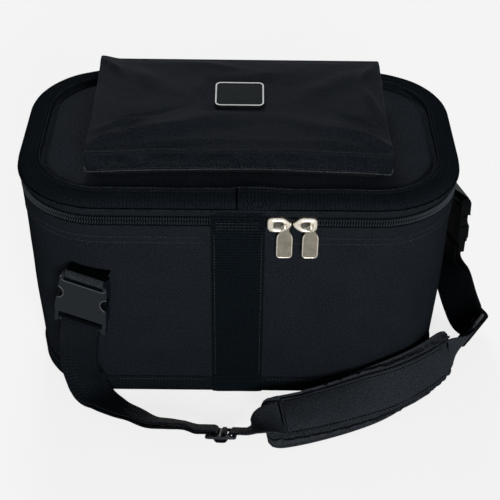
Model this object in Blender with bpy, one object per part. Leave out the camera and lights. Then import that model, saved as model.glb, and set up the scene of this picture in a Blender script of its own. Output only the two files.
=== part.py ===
"""Padded case for a drum pedal: a soft box with a zipped lid, a pocket on the lid and a shoulder strap.

The origin is the middle of the base, on the floor. +X is the case's right, -Y its front, +Z up.
"""
import math

import bmesh
import bpy
import numpy as np
from mathutils import Matrix, Vector

# Clearances and cuts shared by every piece
fit_gap = 0.0003
cut_overrun = 0.003

# Outline of the case from above, at the lid's border
case_length = 0.420
case_width = 0.243
corner_radius = 0.082
corner_steps = 12

# Heights of the shell and the lid, and the wall's slope
zip_height = 0.2195
lid_height = 0.0225
wall_inset_top = 0.0016
wall_inset_base = 0.0075

# Thicknesses of the padded wall, base and lid
wall_thickness = 0.007
lining_thickness = 0.0012
base_thickness = 0.0085
lid_thickness = 0.010
gusset_thickness = 0.004

# Zipper, half of it on the shell and half on the lid
zip_slot_half = 0.0058
zip_groove_half = 0.0008
tooth_height = 0.0036
tooth_depth = 0.0016
tape_thickness = 0.0012

# Bindings
binding_height = 0.020
binding_under = 0.018
binding_thickness = 0.0015
border_width = 0.021
border_drop = 0.0055
border_thickness = 0.0018
border_round = 0.0011

# Web over the front and fabric hinge at the back
front_web_width = 0.050
web_thickness = 0.0016
web_foot_clearance = 0.0015
hinge_strip_length = 0.226
hinge_strip_thickness = 0.0012

# Pocket on the lid
pocket_length = 0.276
pocket_depth = 0.146
pocket_middle_offset = -0.001
pocket_front_height = 0.021
pocket_rear_height = 0.039
pocket_corner = 0.010
pocket_wall = 0.0016
flap_thickness = 0.0020
flap_overhang = 0.0023
flap_lip = 0.0180
flap_side_lip = 0.012
touch_tape_width = 0.016
touch_tape_thickness = 0.0011

# Badge on the flap
badge_length = 0.049
badge_height = 0.0385
badge_thickness = 0.0032
badge_rim = 0.0022
badge_recess = 0.0008
badge_corner = 0.006
badge_centre_share = 0.590

# Zipper sliders and their pulls
slider_length = 0.0215
slider_height = 0.0138
slider_plate = 0.0013
slider_crown = 0.0016
slider_post_length = 0.006
slider_middle_left = 0.0378
slider_middle_right = 0.0616
lug_width = 0.0030
lug_reach = 0.0046
lug_height = 0.0056
lug_bore = 0.0031
lug_offset_share = 0.24
pull_width = 0.0150
pull_length = 0.0365
pull_thickness = 0.0018
pull_neck = 0.0080
pull_pin = 0.0017
pull_side_gap = 0.0005

# Shoulder webbing and its buckles
webbing_width = 0.038
webbing_thickness = 0.0017
layer_gap = 0.0005
buckle_top_width = 0.047
buckle_mouth_width = 0.053
buckle_height = 0.0460
buckle_depth = 0.0110
buckle_shell = 0.0020
buckle_bar = 0.0045
buckle_slot = 0.0040
window_height = 0.0150
window_floor = 0.0140
plug_reach = 0.0180
plug_block = 0.0052
plug_rail = 0.0038
plug_bar_radius = 0.0020
tongue_width = 0.010
tongue_depth = 0.0030
arm_width = 0.0042
arm_root_inset = 0.0040
arm_foot_radius = 0.0016
side_tab_thickness = 0.0017
left_standoff = 0.0115
right_standoff = 0.0235
left_tab_slope = math.radians(0)
right_tab_slope = math.radians(40)
left_buckle_turn = math.radians(-16)
left_buckle_tilt = math.radians(9)
right_buckle_turn = math.radians(108)

# Adjusters
adjuster_length = 0.0505
adjuster_width = 0.0300
adjuster_thickness = 0.0030
adjuster_slot = 0.0080
adjuster_bar = 0.0050
adjuster_corner = 0.0045

# Shoulder pad
pad_width = 0.057
pad_top = 0.0062
pad_under = 0.0045
pad_edge = 0.0014
pad_margin = 0.0075
pad_draw = 0.0012
pad_channel_depth = 0.0012
pad_end_round = 0.016
pad_end_puff_share = 0.35
pad_floor_gap = 0.0006
channel_cloth = 0.0014
channel_start_share = 0.065
channel_end_share = 0.945

# Places given as shares: x of half the length, y of half the width, z of the webbing's width
left_anchor_shares = (-0.664, 0.751)
right_anchor_shares = (0.200, 0.716)
left_hang_shares = (
    # Where the webbing hangs: x, y, z here as a share of the plug bar's height, direction across, and half the
    # space between the two layers as a share of the webbing's width
    (-0.748, -1.010, 0.620, (0.96, -0.24, -0.08), 0.060),
    (-0.748, -1.035, 0.435, (0.97, -0.16, 0.10), 0.060),
    (-0.730, -1.055, 0.300, (0.93, 0.00, 0.20), 0.060),
    (-0.695, -1.105, 0.188, (0.72, 0.64, 0.03), 0.060),
)
left_run_shares = (
    # Where it lies: x, y, z, direction across and half the space
    (-0.642, -1.168, 0.320, (0.42, 0.86, -0.27), 0.058),
    (-0.576, -1.258, 0.320, (0.21, 0.88, -0.42), 0.050),
    (-0.487, -1.348, 0.350, (0.06, 0.86, -0.50), 0.046),
    (-0.402, -1.447, 0.415, (0.00, 0.82, -0.57), 0.050),
    (-0.298, -1.515, 0.550, (-0.03, 0.77, -0.64), 0.060),
    (-0.231, -1.542, 0.590, (-0.03, 0.76, -0.65), 0.050),
)
left_adjuster_shares = (-0.066, -1.583, 0.455, (0.00, 0.80, -0.60), (0.99, -0.04, 0.02))
right_hang_shares = (
    (1.094, 0.255, 0.805, (-0.32, 0.95, 0.00), 0.100),
    (1.104, 0.215, 0.630, (-0.55, 0.83, -0.05), 0.130),
    (1.130, 0.085, 0.440, (-0.84, 0.50, -0.15), 0.140),
    (1.156, -0.085, 0.319, (-0.88, 0.25, -0.42), 0.120),
    (1.178, -0.225, 0.277, (-0.70, 0.08, -0.70), 0.090),
)
right_adjuster_shares = (1.152, -0.462, 0.72, (-0.44, -0.02, -0.88), (-0.48, -0.85, 0.20))
pad_route_shares = (
    # x, y of the middle of the pad, and the direction across it from the floor edge to the upper edge
    (0.133, -1.422, (-0.20, 0.93, 0.31)),
    (0.255, -1.380, (-0.15, 0.94, 0.31)),
    (0.443, -1.288, (-0.18, 0.88, 0.43)),
    (0.619, -1.178, (-0.29, 0.72, 0.62)),
    (0.757, -1.078, (-0.25, 0.40, 0.88)),
    (0.898, -0.908, (-0.18, 0.26, 0.95)),
    (0.972, -0.788, (-0.15, 0.16, 0.97)),
    (1.035, -0.678, (-0.13, 0.10, 0.98)),
)
left_lead_shares = (
    # Between the left adjuster and the pad: x, y, z and direction across
    (0.082, -1.566, 0.610, (-0.10, 0.84, -0.50)),
    (0.119, -1.531, 0.640, (-0.36, 0.88, -0.22)),
    (0.160, -1.477, 0.600, (-0.44, 0.89, 0.10)),
)
# Fineness of the swept pieces
run_step = 0.0040
pad_step = 0.0065
turn_steps = 8

# Values worked out from the ones above
half_length = case_length / 2
half_width = case_width / 2
wall_top = zip_height - zip_slot_half
gusset_bottom = zip_height + zip_slot_half
lid_top = zip_height + lid_height
tooth_front = wall_inset_top - 2 * tooth_depth / 3
tape_front = tooth_front + tooth_depth + fit_gap
tape_back = tape_front + tape_thickness
lid_plane = lid_top - border_thickness - fit_gap
pocket_rear = pocket_middle_offset + pocket_depth / 2
layer_pitch = webbing_thickness + layer_gap
channel_half = webbing_width / 2 + 2 * fit_gap + channel_cloth
channel_top = pad_top + 3 * fit_gap + webbing_thickness + channel_cloth


def clear_scene():
    """Remove whatever the scene holds."""
    for item in list(bpy.data.objects):
        bpy.data.objects.remove(item, do_unlink=True)


def material(name, colour, roughness, metallic=0.0):
    """One Principled material."""
    found = bpy.data.materials.get(name)
    if found:
        return found
    made = bpy.data.materials.new(name)
    made.use_nodes = True
    shader = made.node_tree.nodes["Principled BSDF"]
    shader.inputs["Base Color"].default_value = (*colour, 1.0)
    shader.inputs["Roughness"].default_value = roughness
    shader.inputs["Metallic"].default_value = metallic
    return made


def nylon():
    return material("nylon", (0.024, 0.027, 0.033), 0.62)


def webbing():
    return material("webbing", (0.018, 0.020, 0.024), 0.75)


def lining_cloth():
    return material("lining_cloth", (0.030, 0.031, 0.034), 0.80)


def moulded_plastic():
    return material("moulded_plastic", (0.020, 0.022, 0.025), 0.38)


def zip_coil():
    return material("zip_coil", (0.022, 0.024, 0.028), 0.45)


def nickel():
    return material("nickel", (0.62, 0.60, 0.56), 0.28, 1.0)


def badge_rubber():
    return material("badge_rubber", (0.16, 0.17, 0.18), 0.50)


def touch_tape():
    return material("touch_tape", (0.016, 0.017, 0.019), 0.92)


def finish_object(name, mesh_builder, skin, smooth_angle=35):
    """Close a bmesh into a named object with outward faces and rounded shading."""
    bmesh.ops.recalc_face_normals(mesh_builder, faces=mesh_builder.faces)
    mesh = bpy.data.meshes.new(name)
    mesh_builder.to_mesh(mesh)
    mesh_builder.free()
    mesh.shade_smooth()
    mesh.set_sharp_from_angle(angle=math.radians(smooth_angle))
    mesh.materials.append(skin)
    made = bpy.data.objects.new(name, mesh)
    bpy.context.scene.collection.objects.link(made)
    return made


def hide_cutter(cutter):
    """Keep a cutting shape out of sight and out of the build."""
    cutter.hide_render = True
    cutter.display_type = 'WIRE'


def combine(target, tool, operation):
    """Cut or join with an exact Boolean that stays on the object."""
    hide_cutter(tool)
    step = target.modifiers.new(tool.name, 'BOOLEAN')
    step.object = tool
    step.operation = operation
    step.solver = 'EXACT'


def join_solids(name, solids, skin):
    """Unite several overlapping solids into one named object."""
    base = solids[0]
    base.name = name
    base.data.materials.clear()
    base.data.materials.append(skin)
    for extra in solids[1:]:
        combine(base, extra, 'UNION')
    return base


def attach(child, parent):
    """Parent without moving."""
    bpy.context.view_layer.update()
    child.parent = parent
    child.matrix_parent_inverse = parent.matrix_world.inverted()


def pivot(name, place):
    """An empty that marks a joint."""
    empty = bpy.data.objects.new(name, None)
    empty.location = place
    bpy.context.scene.collection.objects.link(empty)
    return empty


# The case's rounded outline


def rim_corners():
    """Centres of the four corners, back right first, with the bearing where each arc starts."""
    across = half_length - corner_radius
    along = half_width - corner_radius
    return ((across, along, 90), (across, -along, 0), (-across, -along, -90), (-across, along, 180))


def rim_stations(stop=None):
    """Points of the outline with their outward directions; open at the back between the stops."""
    stations = []
    for x, y, start in rim_corners():
        for step in range(corner_steps + 1):
            bearing = math.radians(start - 90 * step / corner_steps)
            out = (math.cos(bearing), math.sin(bearing))
            stations.append((x + corner_radius * out[0], y + corner_radius * out[1], *out))
    if stop is not None:
        stations.insert(0, (stop, half_width, 0, 1))
        stations.append((-stop, half_width, 0, 1))
    return stations


def wall_inset(z):
    """How far the shell's outer face lies inside the lid's border at height z."""
    share = min(max(z / wall_top, 0), 1)
    return wall_inset_base + (wall_inset_top - wall_inset_base) * share


def ring_points(builder, stations, profile):
    """One ring of vertices at each station of a profile of insets and heights."""
    rings = []
    for x, y, out_x, out_y in stations:
        rings.append([builder.verts.new((x - inset * out_x, y - inset * out_y, z)) for inset, z in profile])
    return rings


def skin_rings(builder, rings, closed):
    """Quads between rings whose profiles are closed loops; caps where the row of rings is open."""
    count = len(rings)
    width = len(rings[0])
    for index in range(count if closed else count - 1):
        first, second = rings[index], rings[(index + 1) % count]
        for side in range(width):
            after = (side + 1) % width
            builder.faces.new((first[side], second[side], second[after], first[after]))
    if not closed:
        builder.faces.new(rings[0])
        builder.faces.new(rings[-1])


def rim_band(name, profile, skin, stop=None):
    """A band round the case whose cross-section is a closed profile of (inset, height)."""
    builder = bmesh.new()
    rings = ring_points(builder, rim_stations(stop), profile)
    skin_rings(builder, rings, stop is None)
    return finish_object(name, builder, skin)


def rim_plate(name, profile, skin):
    """A plate of the case's outline, given by its edge from bottom to top as (inset, height)."""
    builder = bmesh.new()
    rings = ring_points(builder, rim_stations(), profile)
    count = len(rings)
    for index in range(count):
        first, second = rings[index], rings[(index + 1) % count]
        for side in range(len(profile) - 1):
            builder.faces.new((first[side], second[side], second[side + 1], first[side + 1]))
    builder.faces.new([ring[0] for ring in rings])
    builder.faces.new([ring[-1] for ring in rings])
    return finish_object(name, builder, skin)


def box(name, low, high, skin):
    """A box between two corners."""
    builder = bmesh.new()
    bmesh.ops.create_cube(builder, size=1)
    size = Vector(high) - Vector(low)
    middle = (Vector(high) + Vector(low)) / 2
    bmesh.ops.transform(builder, matrix=Matrix.Translation(middle) @ Matrix.Diagonal((*size, 1)), verts=builder.verts)
    return finish_object(name, builder, skin)


def rod(name, start, end, radius, skin, sides=12):
    """A round bar between two points."""
    builder = bmesh.new()
    span = Vector(end) - Vector(start)
    turn = span.to_track_quat('Z', 'Y').to_matrix().to_4x4()
    place = Matrix.Translation((Vector(start) + Vector(end)) / 2) @ turn
    bmesh.ops.create_cone(builder, cap_ends=True, segments=sides, radius1=radius, radius2=radius,
                          depth=span.length, matrix=place)
    return finish_object(name, builder, skin)


def extrusion(name, outline, low, high, axis, skin):
    """A flat outline pushed along an axis: 'Y' takes (x, z) points, 'Z' takes (x, y), 'X' takes (y, z)."""
    places = {'X': lambda a, b, depth: (depth, a, b),
              'Y': lambda a, b, depth: (a, depth, b),
              'Z': lambda a, b, depth: (a, b, depth)}
    builder = bmesh.new()
    lower = [builder.verts.new(places[axis](a, b, low)) for a, b in outline]
    upper = [builder.verts.new(places[axis](a, b, high)) for a, b in outline]
    count = len(outline)
    for index in range(count):
        after = (index + 1) % count
        builder.faces.new((lower[index], lower[after], upper[after], upper[index]))
    builder.faces.new(lower)
    builder.faces.new(upper)
    return finish_object(name, builder, skin)


def rounded_rectangle(width, height, radius, steps=4):
    """Corner-rounded outline about the middle, anticlockwise."""
    points = []
    corners = ((1, 1, 0), (-1, 1, 90), (-1, -1, 180), (1, -1, 270))
    for side_x, side_y, start in corners:
        for step in range(steps + 1):
            bearing = math.radians(start + 90 * step / steps)
            points.append((side_x * (width / 2 - radius) + radius * math.cos(bearing),
                           side_y * (height / 2 - radius) + radius * math.sin(bearing)))
    return points


# Shell


def side_wall():
    base = binding_thickness + fit_gap
    profile = ((wall_inset(base), base), (wall_inset(base) + wall_thickness, base),
               (wall_inset_top + wall_thickness, wall_top), (wall_inset_top, wall_top))
    return rim_band("side_wall", profile, nylon())


def base_panel():
    inner = wall_inset_base + binding_under
    outer = wall_inset_base + wall_thickness + fit_gap
    step = binding_thickness + fit_gap
    profile = ((inner, 0), (inner, step), (outer, step), (outer, base_thickness))
    return rim_plate("base_panel", profile, nylon())


def base_lining():
    floor = base_thickness + fit_gap
    edge = wall_inset_base + wall_thickness + fit_gap
    return rim_plate("base_lining", ((edge, floor), (edge, floor + lining_thickness)), lining_cloth())


def wall_lining():
    floor = base_thickness + 2 * fit_gap + lining_thickness
    top = wall_top - fit_gap
    low_inset = wall_inset(floor) + wall_thickness + fit_gap
    high_inset = wall_inset(top) + wall_thickness + fit_gap
    profile = ((low_inset, floor), (low_inset + lining_thickness, floor),
               (high_inset + lining_thickness, top), (high_inset, top))
    return rim_band("wall_lining", profile, lining_cloth())


def bottom_binding():
    outer_low = wall_inset_base - fit_gap - binding_thickness
    outer_high = wall_inset(binding_height) - fit_gap - binding_thickness
    inner_edge = wall_inset_base + binding_under - fit_gap
    profile = ((outer_low + binding_thickness / 2, 0), (outer_low, binding_thickness / 2),
               (outer_high, binding_height), (outer_high + binding_thickness, binding_height),
               (outer_low + binding_thickness, binding_thickness), (inner_edge, binding_thickness),
               (inner_edge, 0))
    return rim_band("bottom_binding", profile, webbing())


def front_web():
    """Wide webbing down the front: sewn to the wall, over the binding, its top end lapping the zipper."""
    wall_low = half_width - wall_inset(binding_height) + fit_gap
    over_binding = binding_thickness + fit_gap
    wall_high = half_width - wall_inset(wall_top) + fit_gap
    lap = half_width - tooth_front + fit_gap
    foot = half_width - wall_inset_base + fit_gap + over_binding
    top = lid_top - border_thickness - border_drop - fit_gap
    path = ((foot, web_foot_clearance), (wall_low + over_binding, binding_height),
            (wall_low, binding_height + 2 * web_thickness), (wall_high, wall_top - tooth_height), (lap, wall_top),
            (lap, top))
    inner = [(-out, z) for out, z in path]
    outer = [(-out - web_thickness, z) for out, z in reversed(path)]
    return extrusion("front_web", inner + outer, -front_web_width / 2, front_web_width / 2, 'X', webbing())


def hinge_strip():
    """Strip of shell fabric that joins the lid to the back wall."""
    front = half_width - wall_inset_top - hinge_strip_thickness
    low = (-hinge_strip_length / 2, front, wall_top + fit_gap)
    high = (hinge_strip_length / 2, front + hinge_strip_thickness, gusset_bottom - fit_gap)
    return box("lid_hinge_strip", low, high, nylon())


def zipper_half(prefix, sign, stop):
    """Tape and tooth row of one side of the zipper; sign is -1 on the shell and 1 on the lid."""
    inner = zip_height + sign * zip_groove_half
    tooth_far = inner + sign * tooth_height
    tape_far = zip_height + sign * (zip_slot_half - fit_gap)
    tape = ((tape_front, inner), (tape_back, inner), (tape_back, tape_far), (tape_front, tape_far))
    bead = tooth_front + tooth_depth
    quarter = tooth_height / 4
    teeth = ((bead, inner), (tooth_front + tooth_depth / 3, inner), (tooth_front, inner + sign * quarter),
             (tooth_front, tooth_far - sign * quarter), (tooth_front + tooth_depth / 3, tooth_far),
             (bead, tooth_far))
    return (rim_band("zipper_tape_" + prefix, tape, webbing(), stop),
            rim_band("zipper_teeth_" + prefix, teeth, zip_coil(), stop))


# Lid


def lid_gusset():
    profile = ((wall_inset_top, gusset_bottom), (wall_inset_top + gusset_thickness, gusset_bottom),
               (wall_inset_top + gusset_thickness, lid_plane), (wall_inset_top, lid_plane))
    return rim_band("lid_gusset", profile, nylon())


def lid_panel():
    edge = wall_inset_top + gusset_thickness + fit_gap
    return rim_plate("lid_panel", ((edge, lid_plane - lid_thickness), (edge, lid_plane)), nylon())


def lid_lining():
    edge = wall_inset_top + gusset_thickness + fit_gap
    top = lid_plane - lid_thickness - fit_gap
    return rim_plate("lid_lining", ((edge, top - lining_thickness), (edge, top)), lining_cloth())


def lid_border():
    side = wall_inset_top - fit_gap
    bottom = lid_top - border_thickness - border_drop
    under = lid_top - border_thickness
    profile = ((0, bottom), (0, lid_top - border_round), (border_round, lid_top),
               (border_width - border_round, lid_top), (border_width, under), (side, under), (side, bottom))
    return rim_band("lid_border", profile, webbing())


# Pocket on the lid


def pocket_floor():
    """Height on which the pocket stands."""
    return lid_plane + fit_gap


def pocket_outline(grow):
    """The pocket's outline from above, grown outwards, with its middle where the pocket's is."""
    flat = rounded_rectangle(pocket_length + 2 * grow, pocket_depth + 2 * grow, pocket_corner + grow)
    return [(x, y + pocket_middle_offset) for x, y in flat]


def pocket_roof(y):
    """Height of the pocket's open rim, which climbs towards the back."""
    front = pocket_rear - pocket_depth
    share = (y - front) / pocket_depth
    rise = pocket_front_height + (pocket_rear_height - pocket_front_height) * share
    return lid_plane + rise


def pocket_walls():
    """Upright fabric walls of the pocket, higher at the back."""
    builder = bmesh.new()
    outer, inner = pocket_outline(0), pocket_outline(-pocket_wall)
    rings = []
    for (out_x, out_y), (in_x, in_y) in zip(outer, inner):
        rings.append([builder.verts.new((out_x, out_y, pocket_floor())),
                      builder.verts.new((in_x, in_y, pocket_floor())),
                      builder.verts.new((in_x, in_y, pocket_roof(in_y))),
                      builder.verts.new((out_x, out_y, pocket_roof(out_y)))])
    skin_rings(builder, rings, True)
    return finish_object("pocket_walls", builder, nylon())


def flap_slope():
    """Angle at which the flap falls from back to front."""
    return math.atan2(pocket_rear_height - pocket_front_height, pocket_depth)


def pocket_flap():
    """Flap with a front lip and short side lips, cut from two shells that follow the pocket's rim."""
    clear = fit_gap + touch_tape_thickness * 2 + 2 * fit_gap
    front = pocket_rear - pocket_depth
    outer_front = front - clear - flap_thickness
    half = pocket_length / 2 + flap_overhang
    rear = pocket_rear
    lift = fit_gap / math.cos(flap_slope())
    thick = flap_thickness / math.cos(flap_slope())
    hem = pocket_roof(front) - flap_lip

    def roof(y, extra):
        return pocket_roof(y) + lift + extra

    side = ((outer_front, hem), (outer_front, roof(outer_front, 0)),
            (outer_front + flap_thickness / 2, roof(outer_front, thick)), (rear, roof(rear, thick)),
            (rear, roof(rear, 0)), (rear, roof(rear, -flap_side_lip)),
            (front, roof(front, -flap_side_lip)), (front - clear, hem))
    shell = extrusion("pocket_flap", side, -half, half, 'X', nylon())
    inner_half = half - flap_thickness
    room = ((front - clear, hem - cut_overrun), (front - clear, roof(front - clear, 0)),
            (rear + cut_overrun, roof(rear + cut_overrun, 0)), (rear + cut_overrun, hem - cut_overrun))
    combine(shell, extrusion("flap_room", room, -inner_half, inner_half, 'X', nylon()), 'DIFFERENCE')
    return shell


def touch_tapes():
    """Loop tape on the pocket's front wall and hook tape inside the flap's lip."""
    half = pocket_length / 2 - pocket_corner
    front = pocket_rear - pocket_depth
    low = pocket_floor() + fit_gap
    high = min(low + touch_tape_width, pocket_roof(front) - fit_gap)
    back = front - fit_gap
    loop = box("pocket_loop_tape", (-half, back - touch_tape_thickness, low), (half, back, high), touch_tape())
    ahead = back - touch_tape_thickness - fit_gap
    hook = box("flap_hook_tape", (-half, ahead - touch_tape_thickness, low), (half, ahead, high), touch_tape())
    return loop, hook


def badge():
    """Bare moulded badge: a plate with a raised rim, lying on the flap."""
    frame = rounded_rectangle(badge_length, badge_height, badge_corner)
    field = rounded_rectangle(badge_length - 2 * badge_rim, badge_height - 2 * badge_rim, badge_corner - badge_rim)
    plate = extrusion("badge", frame, 0, badge_thickness, 'Z', badge_rubber())
    floor = badge_thickness - badge_recess
    combine(plate, extrusion("badge_field", field, floor, badge_thickness + cut_overrun, 'Z', badge_rubber()),
            'DIFFERENCE')
    y = pocket_rear - pocket_depth * (1 - badge_centre_share)
    lift = (2 * fit_gap + flap_thickness) / math.cos(flap_slope())
    place = Matrix.Translation((0, y, pocket_roof(y) + lift)) @ Matrix.Rotation(flap_slope(), 4, 'X')
    for item in (plate, bpy.data.objects["badge_field"]):
        item.matrix_world = place
    return plate


# Zipper sliders


def slider_front():
    """Y of the inner face of a slider's front plate."""
    return -(half_width - tooth_front + fit_gap)


def lug_pivot(middle):
    """Point on the axis on which a pull swings."""
    x = middle + slider_length * lug_offset_share
    y = slider_front() - slider_plate - slider_crown / 2 - lug_reach / 2
    return Vector((x, y, zip_height))


def slider(name, middle):
    """Front plate with a crown and a bored lug, joined by a post to the plate behind the tapes."""
    front = slider_front()
    back = -(half_width - tape_back - fit_gap)
    half = slider_length / 2
    taper = slider_height / 4
    tall = slider_height / 2
    shape = ((-half, -tall), (half - taper, -tall), (half, -taper), (half, taper), (half - taper, tall),
             (-half, tall))
    outline = [(middle + x, zip_height + z) for x, z in shape]
    plate = extrusion(name, outline, front - slider_plate, front, 'Y', nickel())
    crown_shape = rounded_rectangle(slider_length * 3 / 4, slider_height * 2 / 3, slider_height / 4)
    crown = extrusion(name + "_crown", [(middle + x, zip_height + z) for x, z in crown_shape],
                      front - slider_plate - slider_crown, front - slider_plate / 2, 'Y', nickel())
    post_half = zip_groove_half - fit_gap
    post = box(name + "_post", (middle - slider_post_length / 2, front - slider_plate / 2, zip_height - post_half),
               (middle + slider_post_length / 2, back + slider_plate / 2, zip_height + post_half), nickel())
    room = zip_slot_half - fit_gap
    rear = box(name + "_rear", (middle - half + taper, back, zip_height - room),
               (middle + half - taper, back + slider_plate, zip_height + room), nickel())
    axis = lug_pivot(middle)
    lug = box(name + "_lug", (axis.x - lug_width / 2, axis.y - lug_reach / 2, axis.z - lug_height / 2),
              (axis.x + lug_width / 2, front - slider_plate, axis.z + lug_height / 2), nickel())
    whole = join_solids(name, [plate, crown, post, rear, lug], nickel())
    reach = Vector((lug_width, 0, 0))
    bore = rod(name + "_bore", axis - reach, axis + reach, lug_bore / 2, nickel())
    combine(whole, bore, 'DIFFERENCE')
    return whole


def pull(name, middle):
    """Paddle that hangs from the slider's lug on a cross pin, with a window round the lug."""
    axis = lug_pivot(middle)
    head = math.hypot(lug_reach, lug_height) / 2 + pull_side_gap + pull_pin
    window = lug_width / 2 + pull_side_gap
    neck = pull_neck / 2
    wide = pull_width / 2
    bevel = pull_width / 5
    shoulder = -head - bevel
    foot = -pull_length
    shape = ((-neck, pull_pin / 2), (neck, pull_pin / 2), (neck, -head), (wide, shoulder - bevel),
             (wide, foot + bevel), (wide - bevel, foot), (-wide + bevel, foot), (-wide, foot + bevel),
             (-wide, shoulder - bevel), (-neck, -head))
    half = pull_thickness / 2
    tag = extrusion(name, shape, -half, half, 'Y', nickel())
    cut = extrusion(name + "_window", ((-window, -pull_pin / 2), (window, -pull_pin / 2), (window, -head + pull_pin),
                                       (-window, -head + pull_pin)), -pull_pin, pull_pin, 'Y', nickel())
    combine(tag, cut, 'DIFFERENCE')
    for item in (tag, cut):
        item.location = axis
    return tag


# Buckles, built about the middle of the top edge of their tab: x to the right, y inwards, z up


def buckle_half_width(depth):
    """Half width of the buckle's body at a depth below its top."""
    share = depth / buckle_height
    return (buckle_top_width + (buckle_mouth_width - buckle_top_width) * share) / 2


def receptacle(name, frame, standoff):
    """Socket half: a flat sleeve open below, with side windows and a bar above for the tab."""
    face = -standoff - buckle_depth / 2
    rear = -standoff + buckle_depth / 2
    round_off = buckle_bar
    top, mouth = buckle_half_width(0), buckle_half_width(buckle_height)
    body_shape = ((-top + round_off, 0), (top - round_off, 0), (top, -round_off), (mouth, -buckle_height),
                  (-mouth, -buckle_height), (-top, -round_off))
    body = extrusion(name, body_shape, face, rear, 'Y', moulded_plastic())
    slot_half = webbing_width / 2 + 2 * fit_gap
    slot_top = -buckle_bar
    slot = box(name + "_slot", (-slot_half, face - cut_overrun, slot_top - buckle_slot),
               (slot_half, rear + cut_overrun, slot_top), moulded_plastic())
    relief = (buckle_depth - buckle_bar) / 2
    front_relief = box(name + "_front_relief", (-slot_half, face - cut_overrun, slot_top - buckle_slot / 2),
                       (slot_half, face + relief, cut_overrun), moulded_plastic())
    rear_relief = box(name + "_rear_relief", (-slot_half, rear - relief, slot_top - buckle_slot / 2),
                      (slot_half, rear + cut_overrun, cut_overrun), moulded_plastic())
    roof = -(buckle_bar + buckle_slot + 2 * buckle_shell)
    socket_half = socket_half_width()
    socket = box(name + "_socket", (-socket_half, face + buckle_shell, -buckle_height - cut_overrun),
                 (socket_half, rear - buckle_shell, roof), moulded_plastic())
    low, high = window_span()
    beyond = mouth + cut_overrun
    window = box(name + "_window", (-beyond, face + buckle_shell, low), (beyond, rear - buckle_shell, high),
                 moulded_plastic())
    notch_in = socket_half - arm_width
    cuts = [slot, front_relief, rear_relief, socket, window]
    for side in (-1, 1):
        near, far = sorted((side * notch_in, side * beyond))
        cuts.append(box(name + "_notch" + str(side), (near, face - cut_overrun, low),
                        (far, face + buckle_shell + cut_overrun, high), moulded_plastic()))
    for cut in cuts:
        combine(body, cut, 'DIFFERENCE')
    place_in_frame([body] + cuts, frame)
    return body


def socket_half_width():
    """Half width of the hollow that takes the plug."""
    return buckle_half_width(buckle_height) - 2 * buckle_shell


def window_span():
    """Lowest and highest z of the side windows."""
    low = -buckle_height + window_floor
    return low, low + window_height


def place_in_frame(items, frame):
    """Set pieces made in a buckle's own frame to where the buckle hangs."""
    for item in items:
        item.matrix_world = frame


def plug(name, frame, standoff):
    """Plug half: a block and tongue in the socket, rails below it and a bar for the strap."""
    half_depth = buckle_depth / 2 - buckle_shell - fit_gap
    mouth = -buckle_height
    block_half = socket_half_width() - fit_gap
    middle = -standoff
    block = box(name, (-block_half, middle - half_depth, mouth - fit_gap - plug_rail / 2),
                (block_half, middle + half_depth, mouth + plug_block), moulded_plastic())
    roof = -(buckle_bar + buckle_slot + 2 * buckle_shell) - fit_gap
    tongue = box(name + "_tongue", (-tongue_width / 2, middle - tongue_depth / 2, mouth),
                 (tongue_width / 2, middle + tongue_depth / 2, roof), moulded_plastic())
    rail_out = buckle_half_width(buckle_height)
    rail_depth = buckle_depth / 2 - buckle_shell / 2
    solids = [block, tongue]
    collar = box(name + "_collar", (-rail_out, middle - rail_depth, mouth - fit_gap - plug_rail),
                 (rail_out, middle + rail_depth, mouth - fit_gap), moulded_plastic())
    solids.append(collar)
    for side in (-1, 1):
        near, far = sorted((side * (rail_out - plug_rail), side * (rail_out - fit_gap)))
        solids.append(box(name + "_rail" + str(side), (near, middle - half_depth, mouth - plug_reach),
                          (far, middle + half_depth, mouth - plug_rail), moulded_plastic()))
    bar_z = plug_bar_depth()
    solids.append(rod(name + "_bar", (-rail_out + plug_rail / 2, middle, bar_z),
                      (rail_out - plug_rail / 2, middle, bar_z), plug_bar_radius, moulded_plastic()))
    whole = join_solids(name, solids, moulded_plastic())
    place_in_frame(solids, frame)
    return whole


def plug_bar_depth():
    """Z of the middle of the plug's strap bar."""
    return -buckle_height - plug_reach + plug_bar_radius


def arm_foot():
    """X and z of the point on which the right-hand release arm bends."""
    return socket_half_width() - arm_root_inset, -buckle_height + plug_block + fit_gap + arm_foot_radius


def release_arm(name, side, frame, standoff):
    """Springy arm of the plug: a strip from its foot to a catch that fills the window."""
    foot_x, foot_z = arm_foot()
    low, high = window_span()
    catch_low, catch_high = low + fit_gap, high - 2 * fit_gap
    strip_in = foot_x - arm_foot_radius
    strip_out = strip_in + arm_width - 2 * fit_gap
    skin_half = buckle_half_width(-catch_high) - fit_gap
    half_depth = buckle_depth / 2 - buckle_shell - fit_gap
    shape = ((strip_in, foot_z - arm_foot_radius), (strip_out - fit_gap, foot_z - arm_foot_radius),
             (strip_out - fit_gap, catch_low), (skin_half, catch_low), (skin_half, catch_high - arm_width / 2),
             (strip_out - fit_gap, catch_high), (strip_in, catch_high))
    outline = [(side * x - side * foot_x, z - foot_z) for x, z in shape]
    arm = extrusion(name, outline, -half_depth, half_depth, 'Y', moulded_plastic())
    arm.matrix_world = frame @ Matrix.Translation((side * foot_x, -standoff, foot_z))
    return arm


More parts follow.
